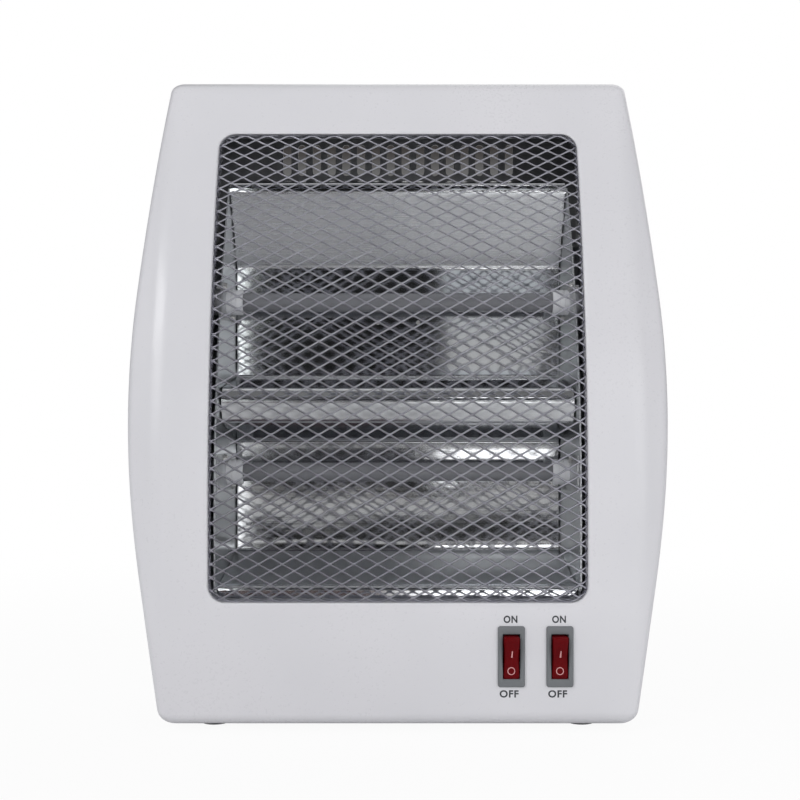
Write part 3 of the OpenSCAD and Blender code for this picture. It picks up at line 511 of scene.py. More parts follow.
def cut(piece: bpy.types.Object, cutters: Sequence[bpy.types.Object]) -> bpy.types.Object:
    """Takes closed cutters out of a piece and deletes them."""
    for cutter in cutters:
        made = piece.modifiers.new("cut", "BOOLEAN")
        made.operation = "DIFFERENCE"
        made.solver = "EXACT"
        made.object = cutter
    old, mesh = piece.data, drawn(piece)
    piece.modifiers.clear()
    piece.data = mesh
    bpy.data.meshes.remove(old)
    for cutter in cutters:
        bpy.data.objects.remove(cutter)
    return piece


def fit(piece: bpy.types.Object, finish: Finish, body: str = HOUSING, nodes: Sequence[str] = ()) -> None:
    """Dresses a piece, lets it ride on a body and stand for CAD nodes, and logs it.

    Args:
        piece: The new piece.
        finish: Its finish.
        body: The body it moves with.
        nodes: The CAD nodes that it replaces.
    """
    WARDROBE.dress(piece, finish)
    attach(piece, body)
    if nodes:
        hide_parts(*nodes)
    log.info("%s: %d faces, on %s", piece.name, len(piece.data.polygons), body)


def revolve(name: str, profile: Sequence[Pair], centre: Sequence[float], axis: int,
            steps: int = 48) -> bpy.types.Object:
    """A closed surface of revolution: each profile point is (place along the axis, radius), turned about it.

    Args:
        name: The piece's name.
        profile: Points from one end to the other. A ring's profile comes back to its start.
        centre: A point on the axis.
        axis: 0 for X, 1 for Y, 2 for Z.
        steps: Points round the axis.

    Returns:
        The new piece.
    """
    p = np.array(profile, float)
    closed = bool(np.allclose(p[0], p[-1]))
    if closed:
        p = p[:-1]
    a = np.linspace(0, 2 * np.pi, steps, endpoint=False)
    points = np.zeros((len(p), steps, 3))
    points[..., axis] = p[:, :1]
    points[..., (axis + 1) % 3] = p[:, 1:] * np.cos(a)
    points[..., (axis + 2) % 3] = p[:, 1:] * np.sin(a)
    return grid(name, points + np.array(centre, float), closed)


def tube_round(path: Array, r: float, sides: int) -> Array:
    """Rings of a round tube along a path, square to it, on two normals carried from a fixed direction."""
    t = unit(np.gradient(path, axis=0))
    ref = np.where(np.abs(t[:, :1]) > 0.95, (0.0, 0.0, 1.0), (1.0, 0.0, 0.0))
    u = unit(np.cross(t, ref))
    v = np.cross(t, u)
    a = np.linspace(0, 2 * np.pi, sides, endpoint=False)[None, :, None]
    return path[:, None] + r * (np.cos(a) * u[:, None] + np.sin(a) * v[:, None])


def box_cutter(low: Sequence[float], high: Sequence[float]) -> bpy.types.Object:
    """A plain closed box, used only to cut."""
    a, b = np.array(low, float), np.array(high, float)
    c = np.array([[x, y, z] for x in (0, 1) for y in (0, 1) for z in (0, 1)], float)
    faces = np.array([[0, 1, 3, 2], [4, 6, 7, 5], [0, 4, 5, 1], [2, 3, 7, 6], [0, 2, 6, 4], [1, 5, 7, 3]])
    return outwards(mesh_of("cutter", a + c * (b - a), [faces]))


def rounded_loop(half_w: float, low: float, high: float, r: float, side: int, corner: int) -> Array:
    """Points round a rectangle with round corners, from the bottom left, turning left.

    Each straight side is cut into side steps and each corner, a quarter circle of radius r, into corner steps.
    """
    cx, (z0, z1) = half_w - r, (low + r, high - r)
    quarter = math.pi / 2
    arcs = [arc((x, z), r, start * quarter, quarter, corner)
            for x, z, start in ((cx, z0, -1), (cx, z1, 0), (-cx, z1, 1), (-cx, z0, 2))]
    parts = []
    for before, after in zip([arcs[-1], *arcs], arcs):
        t = np.linspace(0, 1, side + 1)[:-1, None]
        parts += [before[-1] + (after[0] - before[-1]) * t, after[:-1]]
    return np.concatenate(parts)


def normals_of(loop: Array) -> Array:
    """Unit normals of a closed plane loop that turns left, pointing inwards."""
    return left_of(unit(np.roll(loop, -1, 0) - np.roll(loop, 1, 0)))


# The heater's own forms


@dataclass(frozen=True)
class Form:
    """Outer form of the heater: a barrel-shaped outline whose upper front curves back, with two side wings."""

    front_y: float = -56.65
    depth: float = 112.0
    bezel_d: float = 82.5
    bottom: float = 3.5
    top: float = 343.2
    low_half: float = 120.3
    high_half: float = 124.4
    peak_half: float = 142.4
    peak_z: float = 149.0
    flank_r: float = 610.0
    low_r: float = 9.0
    high_r: float = 6.5
    curve_z: float = 112.0
    curve_r: float = 430.0
    crease_x: float = 122.5
    wing_deg: float = 24.0
    wing_lead: float = 2.0
    crease_soft: float = 1.6

    @property
    def back_y(self) -> float:
        """Y of the rear face."""
        return self.front_y + self.depth

    def setback(self, z: Array) -> Array:
        """How far the front curves back: nothing up to curve_z, then an arc of radius curve_r."""
        up = np.maximum(np.asarray(z, float) - self.curve_z, 0)
        return self.curve_r - np.sqrt(self.curve_r ** 2 - up ** 2)

    def front(self, x: Array, z: Array) -> Array:
        """Depth of the front: the deeper of the curved face and the wing, blended softly at the crease.

        The wing is a plane turned back by wing_deg past crease_x, whose upper part curves back with it.
        """
        c, s = math.cos(math.radians(self.wing_deg)), math.sin(math.radians(self.wing_deg))
        r = self.curve_r / c
        up = np.maximum(z - self.curve_z + self.wing_lead, 0)
        wing = (r - np.sqrt(r ** 2 - up ** 2) + (np.abs(x) - self.crease_x) * s) / c
        face = self.setback(z)
        k = self.crease_soft
        apart = face - wing
        return (face + wing + np.sqrt(apart ** 2 + k * k)) / 2 - k * k / (4 * np.maximum(np.abs(apart), k))

    def outline(self, side: int, corner: int) -> Array:
        """The outline in the front view, from the bottom left, turning left.

        Each flank is two straight lines blended by an arc of radius flank_r, with a round corner at each end.
        """
        low = np.array([self.low_half, self.bottom])
        peak = np.array([self.peak_half, self.peak_z])
        high = np.array([self.high_half, self.top])

        def rounded(before: Array, p: Array, after: Array, r: float, steps: int) -> Array:
            """The arc of radius r that rounds the corner p between two straight edges, turning left."""
            u, v = unit(before - p), unit(after - p)
            half = math.acos(float(u @ v)) / 2
            centre = p + unit(u + v) * r / math.sin(half)
            start = p + u * r / math.tan(half) - centre
            return arc(centre, r, math.atan2(start[1], start[0]), math.pi - 2 * half, steps)

        lower = rounded(np.array([0, self.bottom]), low, peak, self.low_r, corner)
        upper = rounded(peak, high, np.array([0, self.top]), self.high_r, corner)
        bend = rounded(low, peak, high, self.flank_r, side)
        way = np.concatenate([lower[-1:], bend, upper[:1]])
        run = run_of(way)
        even = np.linspace(0, run[-1], side + 1)
        flank = np.stack([np.interp(even, run, way[:, k]) for k in (0, 1)], -1)
        t = np.linspace(-1, 1, side + 1)[:-1, None]
        bottom = np.concatenate([lower[0][:1] * t, np.full_like(t, self.bottom)], 1)
        right = np.concatenate([bottom, lower[:-1], flank[:-1], upper[:-1]])
        mirror = np.array([-1.0, 1.0])
        top = np.concatenate([-upper[-1][:1] * t, np.full_like(t, self.top)], 1)
        left = [(part[::-1] * mirror)[:-1] for part in (upper, flank, lower)]
        return np.concatenate([right, top, *left])


FORM = Form()


@dataclass
class Bezel:
    """The white front bezel: one closed shell with a round-edged window, a flange behind it and posts inside.

    Holes are (x, depth behind the front, radius), posts (x, height), and pilot the posts' hole (radius, depth).
    """

    window_half: float = 95.8
    window_low: float = 65.4
    window_high: float = 310.8
    window_r: float = 8.6
    wall: float = 2.4
    flange_d: float = 13.0
    edge_flank: float = 2.6
    edge_ends: float = 7.0
    edge_window: float = 1.1
    side: int = 56
    corner: int = 10
    switch_x: Pair = (57.1, 81.5)
    switch_z: float = 38.5
    switch_cut: Pair = (12.8, 28.2)
    plunger_hole: Triple = (-20.0, 48.65, 3.05)
    foot_hole: Triple = (95.0, 25.0, 2.65)
    cover_posts: tuple[Pair, ...] = ((110.9, 326.7), (106.8, 20.0))
    plate_posts: tuple[Pair, ...] = ((103.9, 96.0), (103.9, 238.0))
    cover_post_r: float = 4.5
    cover_post_gap: float = 1.1
    plate_post_r: float = 4.0
    plate_post_d: float = 59.9
    post_root: float = 2.0
    post_draft: float = 0.4
    post_edge: float = 0.3
    pilot: Pair = (1.5, 14.0)

    def shell(self) -> Array:
        """Rings round the outline, from the rear rim over the front and the window's edge back inside."""
        out = FORM.outline(self.side, self.corner)
        n = normals_of(out)
        win = rounded_loop(self.window_half, self.window_low, self.window_high, self.window_r, self.side,
                           self.corner)
        m = -normals_of(win)
        lean = np.abs(n[:, 1]) ** 2
        r = (self.edge_flank + (self.edge_ends - self.edge_flank) * lean)[:, None]
        rw, wall = self.edge_window, self.wall
        rows: list[Array] = []

        def at_depth(plan: Array, depth: Array) -> None:
            """Adds one ring at a plan and a depth."""
            rows.append(np.concatenate([plan[:, :1], FORM.front_y + depth, plan[:, 1:]], 1))

        def behind(plan: Array, extra: Union[Array, float]) -> None:
            """Adds one ring at a plan, this much behind the front."""
            at_depth(plan, FORM.front(plan[:, 0], plan[:, 1])[:, None] + extra)

        rear = np.full_like(r, FORM.bezel_d)
        start = FORM.front(out[:, 0], out[:, 1])[:, None] + r
        for t in (0, 0.35, 0.7, 0.92):
            at_depth(out, rear + (start - rear) * t)
        for t in np.linspace(0, math.pi / 2, 8):
            behind(out + n * r * (1 - math.cos(t)), r * (1 - math.sin(t)))
        edge, rim = out + n * r, win + m * rw
        for t in np.linspace(0, 1, 30)[1:-1]:
            behind(edge + (rim - edge) * t, 0)
        for t in np.linspace(0, math.pi / 2, 6):
            behind(win + m * rw * (1 - math.sin(t)), rw * (1 - math.cos(t)))
        behind(win, self.flange_d)
        behind(win + m * wall, self.flange_d)
        inner = np.maximum(r - wall, 0.4)
        far = out + n * (wall + inner)
        for t in np.linspace(0, 1, 9):
            behind(win + m * wall + (far - win - m * wall) * t, wall)
        behind(out + n * (wall + inner * 0.3), wall + inner * 0.3)
        behind(out + n * wall, wall + inner)
        at_depth(out + n * wall, rear)
        return np.stack(rows)

    def cutters(self) -> list[bpy.types.Object]:
        """The holes for switches, plunger and feet, as closed pieces."""
        w, h = self.switch_cut[0] / 2, self.switch_cut[1] / 2
        y, z = FORM.front_y, self.switch_z
        boxes = [box_cutter((x - w, y - 5, z - h), (x + w, y + 6, z + h)) for x in self.switch_x]
        x, d, r = self.foot_hole
        drill = [self.plunger_hole, (-x, d, r), (x, d, r)]
        return boxes + [revolve("cutter", [(-4, r), (8, r)], (x, y + d, 0), 2, 32) for x, d, r in drill]

    def posts(self) -> list[Array]:
        """The posts that take the screws of the rear cover and of the side plates, each with its pilot hole."""
        spots = [(s * x, z, r, end)
                 for places, r, end in (
                     (self.cover_posts, self.cover_post_r, FORM.back_y - self.cover_post_gap),
                     (self.plate_posts, self.plate_post_r, FORM.front_y + self.plate_post_d))
                 for s, _ in SIDES for x, z in places]
        a = np.linspace(0, 2 * np.pi, 24, endpoint=False)
        grids = []
        for x, z, r, end in spots:
            start = FORM.front_y + float(FORM.front(np.array(abs(x) + r), np.array(z + r))) + self.post_root
            hole, deep = self.pilot
            y = np.array([start, end - 1, end, end, end - deep])
            q = np.array([r + self.post_draft, r, r - self.post_edge, hole, hole - self.post_edge / 2])
            grids.append(np.stack(np.broadcast_arrays(x + q[:, None] * np.cos(a), y[:, None],
                                                      z + q[:, None] * np.sin(a)), -1))
        return grids

    def build(self) -> None:
        """Makes the shell with its holes, and the posts."""
        shell = grid("bezel_shell", self.shell())
        fit(smooth(cut(shell, self.cutters()), 38), Finish.BEZEL, nodes=["front_bezel"])
        fit(smooth(many("bezel_posts", self.posts())), Finish.POST)


@dataclass
class Guard:
    """The expanded-metal guard: wavy strands that meet in knots, on a sheet curved like the bezel's front.

    The sheet's edges are folded back all round. Places on the flat sheet are x and s, the way up from its lower
    edge. A strand runs along x, so pitch_x and pitch_s are the sizes of one diamond.
    """

    half: float = 95.5
    low: float = 65.7
    high: float = 310.5
    corner_r: float = 8.3
    inset: float = 0.9
    bend: float = 2.6
    rim: float = 12.0
    pitch_x: float = 12.0
    pitch_s: float = 6.86
    phase_x: float = -46.2
    phase_s: float = 5.4
    strand_w: float = 0.80
    strand_t: float = 0.62
    tilt: float = 28.0
    straight: float = 0.975
    knot_inset: float = 0.14
    knot_swell: float = 0.35
    steps: int = 6

    @property
    def reach(self) -> float:
        """Length of the sheet past the fold line."""
        return self.bend * math.pi / 2 + self.rim - self.bend

    def height(self, s: Array) -> Array:
        """Height of a place s: straight up, then round the arc of the front."""
        flat, r = FORM.curve_z - self.low, FORM.curve_r
        return np.where(s <= flat, self.low + s, FORM.curve_z + r * np.sin((s - flat) / r))

    def fold(self, x: Array, s: Array) -> Array:
        """Places a point of the flat sheet: inside the fold line on the curved face, outside it round the fold.

        Past the fold line the distance t first runs round a quarter circle of radius bend, then straight back.
        In a corner the way out to the sheet's square corner is pressed together to the same length.
        """
        b, rc = self.bend, self.corner_r - self.bend
        span = np.array([self.half - b - rc, (self.high - self.low) / 2 - b - rc])
        mid = np.array([0.0, (self.high + self.low) / 2])
        p = np.stack([x, self.height(s)], -1) - mid
        core = np.clip(p, -span, span)
        d = p - core
        rho = np.linalg.norm(d, axis=-1)
        n = d / np.maximum(rho, 1e-9)[..., None]
        full = (rc + self.reach) / np.maximum(np.abs(n).max(-1), 0.5)
        t = np.clip((rho - rc) / np.maximum(full - rc, 1e-6), 0, 1) * self.reach
        turn = np.minimum(t / b, math.pi / 2)
        plan = mid + core + n * np.where(rho > rc, rc + b * np.sin(turn), rho)[..., None]
        back = b * (1 - np.cos(turn)) + np.maximum(t - b * math.pi / 2, 0)
        depth = self.inset + FORM.setback(plan[..., 1]) + back
        return np.stack([plan[..., 0], FORM.front_y + depth, plan[..., 1]], -1)

    def strand(self, level: int, x: Array) -> Array:
        """One strand as a tube of four edges: a rounded zigzag between two levels, its flat section tilted.

        The zigzag is asin(k sin) over asin(k), which is straight between its rounded tips.

        Args:
            level: Number of the half row, from the lower edge up.
            x: Places along the strand.

        Returns:
            A ring of four points for each place.
        """
        half = self.pitch_s / 2
        phase = (x - self.phase_x) / self.pitch_x * 2 * math.pi + (math.pi if level % 2 else 0)
        wave = np.arcsin(self.straight * -np.cos(phase)) / math.asin(self.straight)
        s = self.phase_s + (level + 0.5) * half + (half / 2 - self.knot_inset) * wave
        slope = np.gradient(s, x)
        across = unit(left_of(np.stack([np.ones_like(slope), slope], -1)))
        knot = 1 + self.knot_swell * np.abs(wave) ** 8
        e = 0.05
        here = self.fold(x, s)
        normal = unit(np.cross(self.fold(x + e, s) - here, self.fold(x, s + e) - here))
        c, k = math.cos(math.radians(self.tilt)) / 2, math.sin(math.radians(self.tilt)) / 2
        corners = []
        for u, w in ((1, 1), (-1, 1), (-1, -1), (1, -1)):
            du = (u * self.strand_w * c - w * self.strand_t * k) * knot
            dw = u * self.strand_w * k + w * self.strand_t * c
            corners.append(self.fold(x + across[:, 0] * du, s + across[:, 1] * du) + normal * dw)
        return np.stack(corners, 1)

    def build(self) -> None:
        """Makes all strands as one piece."""
        side = self.half - self.bend + self.reach
        x = np.linspace(-side, side, int(2 * side / self.pitch_x * 2 * self.steps) + 1)
        length = FORM.curve_z - self.low + FORM.curve_r * math.asin((self.high - FORM.curve_z) / FORM.curve_r)
        edge = self.bend - self.reach
        first = math.ceil((edge - self.phase_s) / self.pitch_s * 2)
        last = math.floor((length - edge - self.phase_s) / self.pitch_s * 2)
        made = many("guard_mesh", [self.strand(level, x) for level in range(first, last)])
        fit(made, Finish.GUARD, nodes=["grille_lower", "grille_middle", "grille_upper", "guard_rim"])


@dataclass
class Reflector:
    """The polished double trough: one sheet bent along X, whose ends carry tabs that meet the side plates.

    Points are the bends from the upper lip down, each (depth, height). Between its tabs the sheet's edge is cut
    back to edge_gap. The two numbers of wave are the heights of its slight waves.
    """

    sheet: float = 0.6
    plate_front: float = 93.0
    slope: float = 4.6 / 51.0
    plate_front_d: float = 9.0
    bend_r: float = 1.6
    lip_z: float = 283.4
    lip_d: float = 7.5
    lip_face: float = 4.3
    hem: Pair = (7.5, 2.4)
    points: tuple[Pair, ...] = (
        (60.0, 240.0), (60.0, 180.0), (22.0, 173.9), (19.0, 167.6), (22.0, 155.9), (60.0, 146.0), (60.0, 85.8),
        (14.0, 71.8), (14.0, 64.6))
    wave: Pair = (0.10, 0.05)
    tab_pitch: float = 17.0
    tab_start: float = 6.0
    tab_w: float = 3.2
    tab_gap: float = 0.1
    edge_gap: float = 0.75

    def section(self) -> Array:
        """The bent section as (depth, height) points from the hem down, each bend rounded by a short curve."""
        top = float(FORM.setback(np.array(self.lip_z))) + self.lip_d
        p = np.array([(top + self.hem[0], self.lip_z + self.hem[1]), (top, self.lip_z),
                      (top, self.lip_z - self.lip_face), *self.points])
        rows = [p[:1]]
        run, t = np.linspace(0, 1, 13)[1:, None], np.linspace(0, 1, 5)[:, None]
        for a, b, c in zip(p[:-2], p[1:-1], p[2:]):
            start, end = b + unit(a - b) * self.bend_r, b + unit(c - b) * self.bend_r
            rows.append(rows[-1][-1] + (start - rows[-1][-1]) * run[:-1])
            rows.append((1 - t) ** 2 * start + 2 * t * (1 - t) * b + t ** 2 * end)
        rows.append(rows[-1][-1] + (p[-1] - rows[-1][-1]) * run)
        return np.concatenate(rows)

    def build(self) -> None:
        """Makes the sheet, its ends cut back between tabs, with the slight waves of thin metal."""
        front = self.section()
        n = left_of(unit(np.gradient(front, axis=0)))
        back = front + n * self.sheet * np.sign(n[len(n) // 4, 0])
        run = run_of(front)
        from_middle = np.abs((run + self.tab_start) % self.tab_pitch - self.tab_pitch / 2)
        gap = np.where(from_middle > (self.tab_pitch - self.tab_w) / 2, self.tab_gap, self.edge_gap)
        share = np.linspace(-1, 1, 61)[:, None]
        rings = []
        for sheet in (front, back):
            x = share * (self.plate_front - self.slope * (front[:, 0] - self.plate_front_d) - gap)
            wave = (self.wave[0] * np.sin(x / 31 + run / 23) * np.sin(run / 41 + 1.3)
                    + self.wave[1] * np.sin(x / 13 - run / 17)) * (1 - share ** 4)
            rings.append(np.stack([x, FORM.front_y + sheet[:, 0] + n[:, 0] * wave,
                                   sheet[:, 1] + n[:, 1] * wave], -1))
        made = grid("reflector_sheet", np.concatenate([rings[0], rings[1][:, ::-1]], 1), False)
        fit(smooth(made, 30), Finish.MIRROR, nodes=["reflector"])


@dataclass
class Tube:
    """One quartz tube with the wound wire inside it and a ceramic cap with two grooves at each end.

    The wire's winding ends hidden inside the caps, coil_hidden past their mouths.
    """

    name: str
    z: float
    d: float = 36.5
    r: float = 5.0
    wall: float = 1.0
    half: float = 96.0
    end_r: float = 0.3
    end_gap: float = 0.5
    play: float = 0.12
    cap_r: float = 6.75
    cap_in: float = 81.6
    cap_out: float = 100.0
    cap_edge: float = 0.7
    grooves: Pair = (84.6, 87.2)
    groove_w: float = 0.8
    groove_d: float = 0.35
    groove_slope: float = 0.15
    collar_r: float = 8.6
    collar_edge: float = 0.4
    collar_x: float = 92.23
    collar_t: float = 2.2
    coil_r: float = 2.7
    wire_r: float = 0.35
    pitch: float = 1.7
    turn_steps: int = 14
    coil_hidden: float = 4.0
    lead_out: float = 8.0
    lead_hole_r: float = 1.2

    def coil(self) -> Array:
        """The wire's path: straight in, round and round, and straight out."""
        reach = self.cap_in + self.coil_hidden
        turns = 2 * reach / self.pitch
        n = int(turns * self.turn_steps)
        a = np.linspace(0, 2 * np.pi * turns, n)
        path = np.stack([np.linspace(-reach, reach, n), self.coil_r * np.cos(a), self.coil_r * np.sin(a)], -1)
        lead = np.linspace(0, 1, 12)[:, None]
        start, end = (np.array([[s * (self.cap_out + self.lead_out), 0, 0]]) for s, _ in SIDES)
        return np.concatenate([start + (path[:1] - start) * lead[:-1], path,
                               (path[-1:] + (end - path[-1:]) * lead)[1:]])

    def cap(self) -> list[Pair]:
        """Section of a cap as (place along the tube, radius), all the way round."""
        c, k, bore = self.cap_r, self.cap_edge, self.r + self.play
        p = [(self.cap_in, bore), (self.cap_in, c - k), (self.cap_in + k, c)]
        w, d, slope = self.groove_w, self.groove_d, self.groove_slope
        for g in self.grooves:
            p += [(g, c), (g + slope, c - d), (g + w - slope, c - d), (g + w, c)]
        x, far, r, e = self.collar_x, self.collar_x + self.collar_t, self.collar_r, self.collar_edge
        end, bottom, hole = self.cap_out, self.half + self.end_gap, self.lead_hole_r
        return p + [(x, c), (x, r - e), (x + e, r), (far, r), (far, c), (end - k, c), (end, c - k), (end, hole),
                    (bottom, hole), (bottom, bore), (self.cap_in, bore)]

    def build(self) -> None:
        """Makes the tube, the coil and the two caps."""
        at = (0.0, FORM.front_y + self.d, self.z)
        r, q, h, e = self.r, self.r - self.wall, self.half, self.end_r
        ring = [(-h, q + e), (-h, r - e), (-h + e, r), (h - e, r),
                (h, r - e), (h, q + e), (h - e, q), (-h + e, q), (-h, q + e)]
        fit(smooth(revolve(f"{self.name}_quartz", ring, at, 0, 64)), Finish.QUARTZ,
            nodes=[f"quartz_tube_{self.name}"])
        wire = grid(f"{self.name}_coil", tube_round(self.coil(), self.wire_r, 6) + np.array(at), False)
        fit(smooth(wire, 80), Finish.COIL, nodes=[f"heating_coil_{self.name}"])
        for s, side in SIDES:
            cap = revolve(f"{self.name}_cap_{side}", [(s * u, v) for u, v in self.cap()], at, 0)
            fit(smooth(cap, 30), Finish.CERAMIC, nodes=[f"end_cap_{self.name}_{side}"])


@dataclass
class Switch:
    """A snap-in rocker switch: grey frame with a deep well, and a red rocker with its marks.

    The bar of the on mark and the ring of the off mark are given across and up from the pivot. The rocker's
    face is rounded over valley_share of its half length, and falls off past crest_share of it. What lies on the
    bezel is clear of its face by the gap. Each entry of words is a word, its height above the pivot, its width
    over that of the font, and how far its middle lies beside the switch's.
    """

    name: str
    x: float
    z: float = 38.5
    w: float = 13.6
    h: float = 30.6
    flange: float = 1.2
    body: Pair = (12.6, 28.0)
    body_d: float = 22.0
    well: Pair = (8.6, 22.5)
    rocker_w: float = 8.3
    rocker_r: float = 11.1
    rocker_back: float = 4.4
    valley: float = 2.4
    valley_share: float = 0.12
    crest_share: float = 0.72
    crest_drop: float = 14.0
    pivot_out: float = 0.3
    rock_deg: float = 20.0
    side_r: float = 1.25
    bar: tuple[Pair, Pair] = ((0.35, 3.7), (0.10, 0.1))
    bar_w: Pair = (0.55, 0.80)
    ring: Triple = (-0.1, -6.6, 1.75)
    ring_w: float = 0.42
    mark_under: float = 0.04
    mark_over: float = 0.07
    gap: float = 0.02
    face_trim: float = 0.05
    back_share: float = 0.995
    words: tuple[tuple[str, float, float, float], ...] = (
        ("ON", 18.5, 0.88, -0.35), ("OFF", -19.0, 1.04, -1.15))
    print_size: float = 4.9
    print_half_t: float = 0.03
    print_bold: float = 0.15
    print_spacing: float = 1.12

    @property
    def half_rock(self) -> float:
        """Half of the rocker's turn."""
        return math.radians(self.rock_deg / 2)

    @property
    def flange_y(self) -> float:
        """Y of the frame's front face."""
        return FORM.front_y - self.flange

    @property
    def pivot(self) -> Array:
        """The rocker's pivot."""
        y = self.flange_y + self.valley * math.cos(self.half_rock) - self.pivot_out
        return np.array([self.x, y, self.z])

    def frame_rings(self) -> Array:
        """The frame as rings of one closed loop: well, front face, round outer edge, lip, body and back."""
        y0, y1 = self.flange_y, self.flange_y + self.body_d
        lip = y0 + self.flange - self.gap
        w, h = self.w / 2, self.h / 2
        a, b = self.well[0] / 2, self.well[1] / 2
        c, e = self.body[0] / 2, self.body[1] / 2
        rows = []
        for p, q, r, y in ((a, b, 0.25, y1 - 1), (a, b, 0.25, y0 + 0.35), (a + 0.1, b + 0.1, 0.3, y0 + 0.1),
                           (a + 0.35, b + 0.35, 0.4, y0), (w - 0.5, h - 0.5, 0.8, y0),
                           (w - 0.15, h - 0.15, 1.1, y0 + 0.12), (w, h, 1.2, y0 + 0.45), (w, h, 1.2, lip),
                           (c, e, 0.5, lip), (c, e, 0.5, y1), (a - 1, b - 1, 0.25, y1),
                           (a - 1, b - 1, 0.25, y1 - 1)):
            loop = rounded_loop(p, -q, q, r, 4, 5)
            rows.append(np.stack([loop[:, 0] + self.x, np.full(len(loop), y), loop[:, 1] + self.z], -1))
        return np.stack(rows)

    def tilted(self, across: Array, out: Array, up: Array) -> Array:
        """Places rocker points given across, outwards and up from the pivot, turned to the off position."""
        c, s = math.cos(self.half_rock), math.sin(self.half_rock)
        return self.pivot + np.stack(np.broadcast_arrays(across, -out * c - up * s, -out * s + up * c), -1)

    def face(self, up: Array) -> Array:
        """How far the rocker's face stands out at a height from its pivot: a valley with two rounded crests."""
        rise = self.rocker_r * math.tan(self.half_rock)
        u, v = np.abs(up) / self.rocker_r, self.valley_share
        lift = self.valley + rise * np.where(u < v, u * u / (2 * v), u - v / 2)
        return lift - self.crest_drop * np.maximum(u - self.crest_share, 0) ** 2

    def rocker(self) -> list[Array]:
        """The rocker's rings: its face and round back, drawn in round a quarter circle at each side."""
        r = self.rocker_r
        up = np.sin(np.linspace(-math.pi / 2, math.pi / 2, 41)) * (r - self.face_trim)
        front = np.stack([self.face(up), up], -1)
        a = np.linspace(math.pi / 2, 3 * math.pi / 2, 9)[1:-1]
        back = np.stack([np.maximum(r * np.cos(a), -self.rocker_back), r * np.sin(a) * self.back_share], -1)
        loop = np.concatenate([front, back])
        n = normals_of(loop)
        n *= np.sign((n * (loop.mean(0) - loop)).sum())
        rings = []
        for a in np.linspace(-math.pi / 2, math.pi / 2, 14):
            x = math.copysign(self.rocker_w / 2 - self.side_r, a) + self.side_r * math.sin(a)
            inner = loop + n * self.side_r * (1 - math.cos(a))
            rings.append(self.tilted(np.array(x), inner[:, 0], inner[:, 1]))
        return rings

    def strip(self, x: Array, up: Array, width: Array) -> Array:
        """A thin strip along points of the rocker's face."""
        way = np.stack([x, up], -1)
        side = left_of(unit(np.gradient(way, axis=0))) * width[:, None] / 2
        rows = []
        under, over = -self.mark_under, self.mark_over
        for s, lift in ((1, under), (1, over), (-1, over), (-1, under)):
            p = way + s * side
            rows.append(self.tilted(p[:, 0], self.face(p[:, 1]) + lift, p[:, 1]))
        return np.stack(rows, 1)

    def marks(self) -> list[Array]:
        """The on mark as a thin bar and the off mark as a thin ring, both lying on the rocker's face."""
        t = np.linspace(0, 1, 25)
        (x0, up0), (x1, up1) = self.bar
        x, up, r = self.ring
        a = t * 2 * math.pi
        w0, w1 = self.bar_w
        return [self.strip(x0 + (x1 - x0) * t, up0 + (up1 - up0) * t, w0 + (w1 - w0) * t),
                self.strip(x + r * np.cos(a), up + r * np.sin(a), np.full(len(t), self.ring_w))]

    def word(self, word: str, up: float, wide: float, shift: float) -> None:
        """Prints one entry of words as thin raised ink on the bezel."""
        curve = bpy.data.curves.new("word", "FONT")
        curve.body, curve.size = word, self.print_size
        curve.align_x = curve.align_y = "CENTER"
        curve.extrude, curve.offset = self.print_half_t, self.print_bold
        curve.space_character = self.print_spacing
        text = placed("word", curve)
        mesh = drawn(text)
        bpy.data.objects.remove(text)
        co = places_of(mesh)
        spots = np.stack([co[:, 0] * wide + self.x + shift, FORM.front_y - self.gap - co[:, 2],
                          co[:, 1] + (self.z + up)], -1)
        mesh.vertices.foreach_set("co", (spots * MM).ravel())
        mesh.update()
        mesh.name = f"print_{word.lower()}_{self.name}"
        fit(placed(mesh.name, mesh), Finish.INK)

    def build(self) -> None:
        """Makes the frame, the rocker with its marks, and the words above and below the switch."""
        name, body = f"switch_{self.name}", f"rocker_{self.name}_body"
        fit(smooth(grid(f"{name}_frame", self.frame_rings()), 50), Finish.GREY,
            nodes=[f"switch_frame_{self.name}"])
        fit(smooth(grid(f"{name}_rocker", np.stack(self.rocker()), False), 60), Finish.RED, body,
            [f"rocker_{self.name}"])
        fit(many(f"{name}_marks", self.marks()), Finish.MARK, body)
        for word in self.words:
            self.word(*word)


@dataclass
class Carried:
    """The CAD nodes whose shapes are right and that only need their finishes."""

    finishes: dict[Finish, Sequence[str]] = field(default_factory=lambda: {
        Finish.PLATE: [f"side_plate_{side}" for _, side in SIDES],
        Finish.ZINC: [f"tube_bracket_{level}_{side}" for level in ("upper", "lower") for _, side in SIDES]
                     + ["thermal_cutout"],
        Finish.SCREW: [f"{what}_screws" for what in ("bracket", "reflector", "cover", "tip_switch", "cutout")],
        Finish.COVER: ["rear_cover"],
        Finish.GREY: ["grip_cup"],
        Finish.BRASS: ["switch_terminals"],
        Finish.BLACK: ["tip_switch_body", "cable_gland", "gland_nut"],
        Finish.POST: ["tip_plunger"],
        Finish.SPRING: ["plunger_spring"],
        Finish.CERAMIC: ["terminal_block"],
        Finish.RUBBER: [f"foot_{end}_{side}" for end in ("front", "rear") for _, side in SIDES]})

    def build(self) -> None:
        """Dresses the nodes."""
        for finish, nodes in self.finishes.items():
            for node in nodes:
                WARDROBE.dress(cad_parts[node], finish)
                log.info("%s: finish %s", node, finish.value.name)


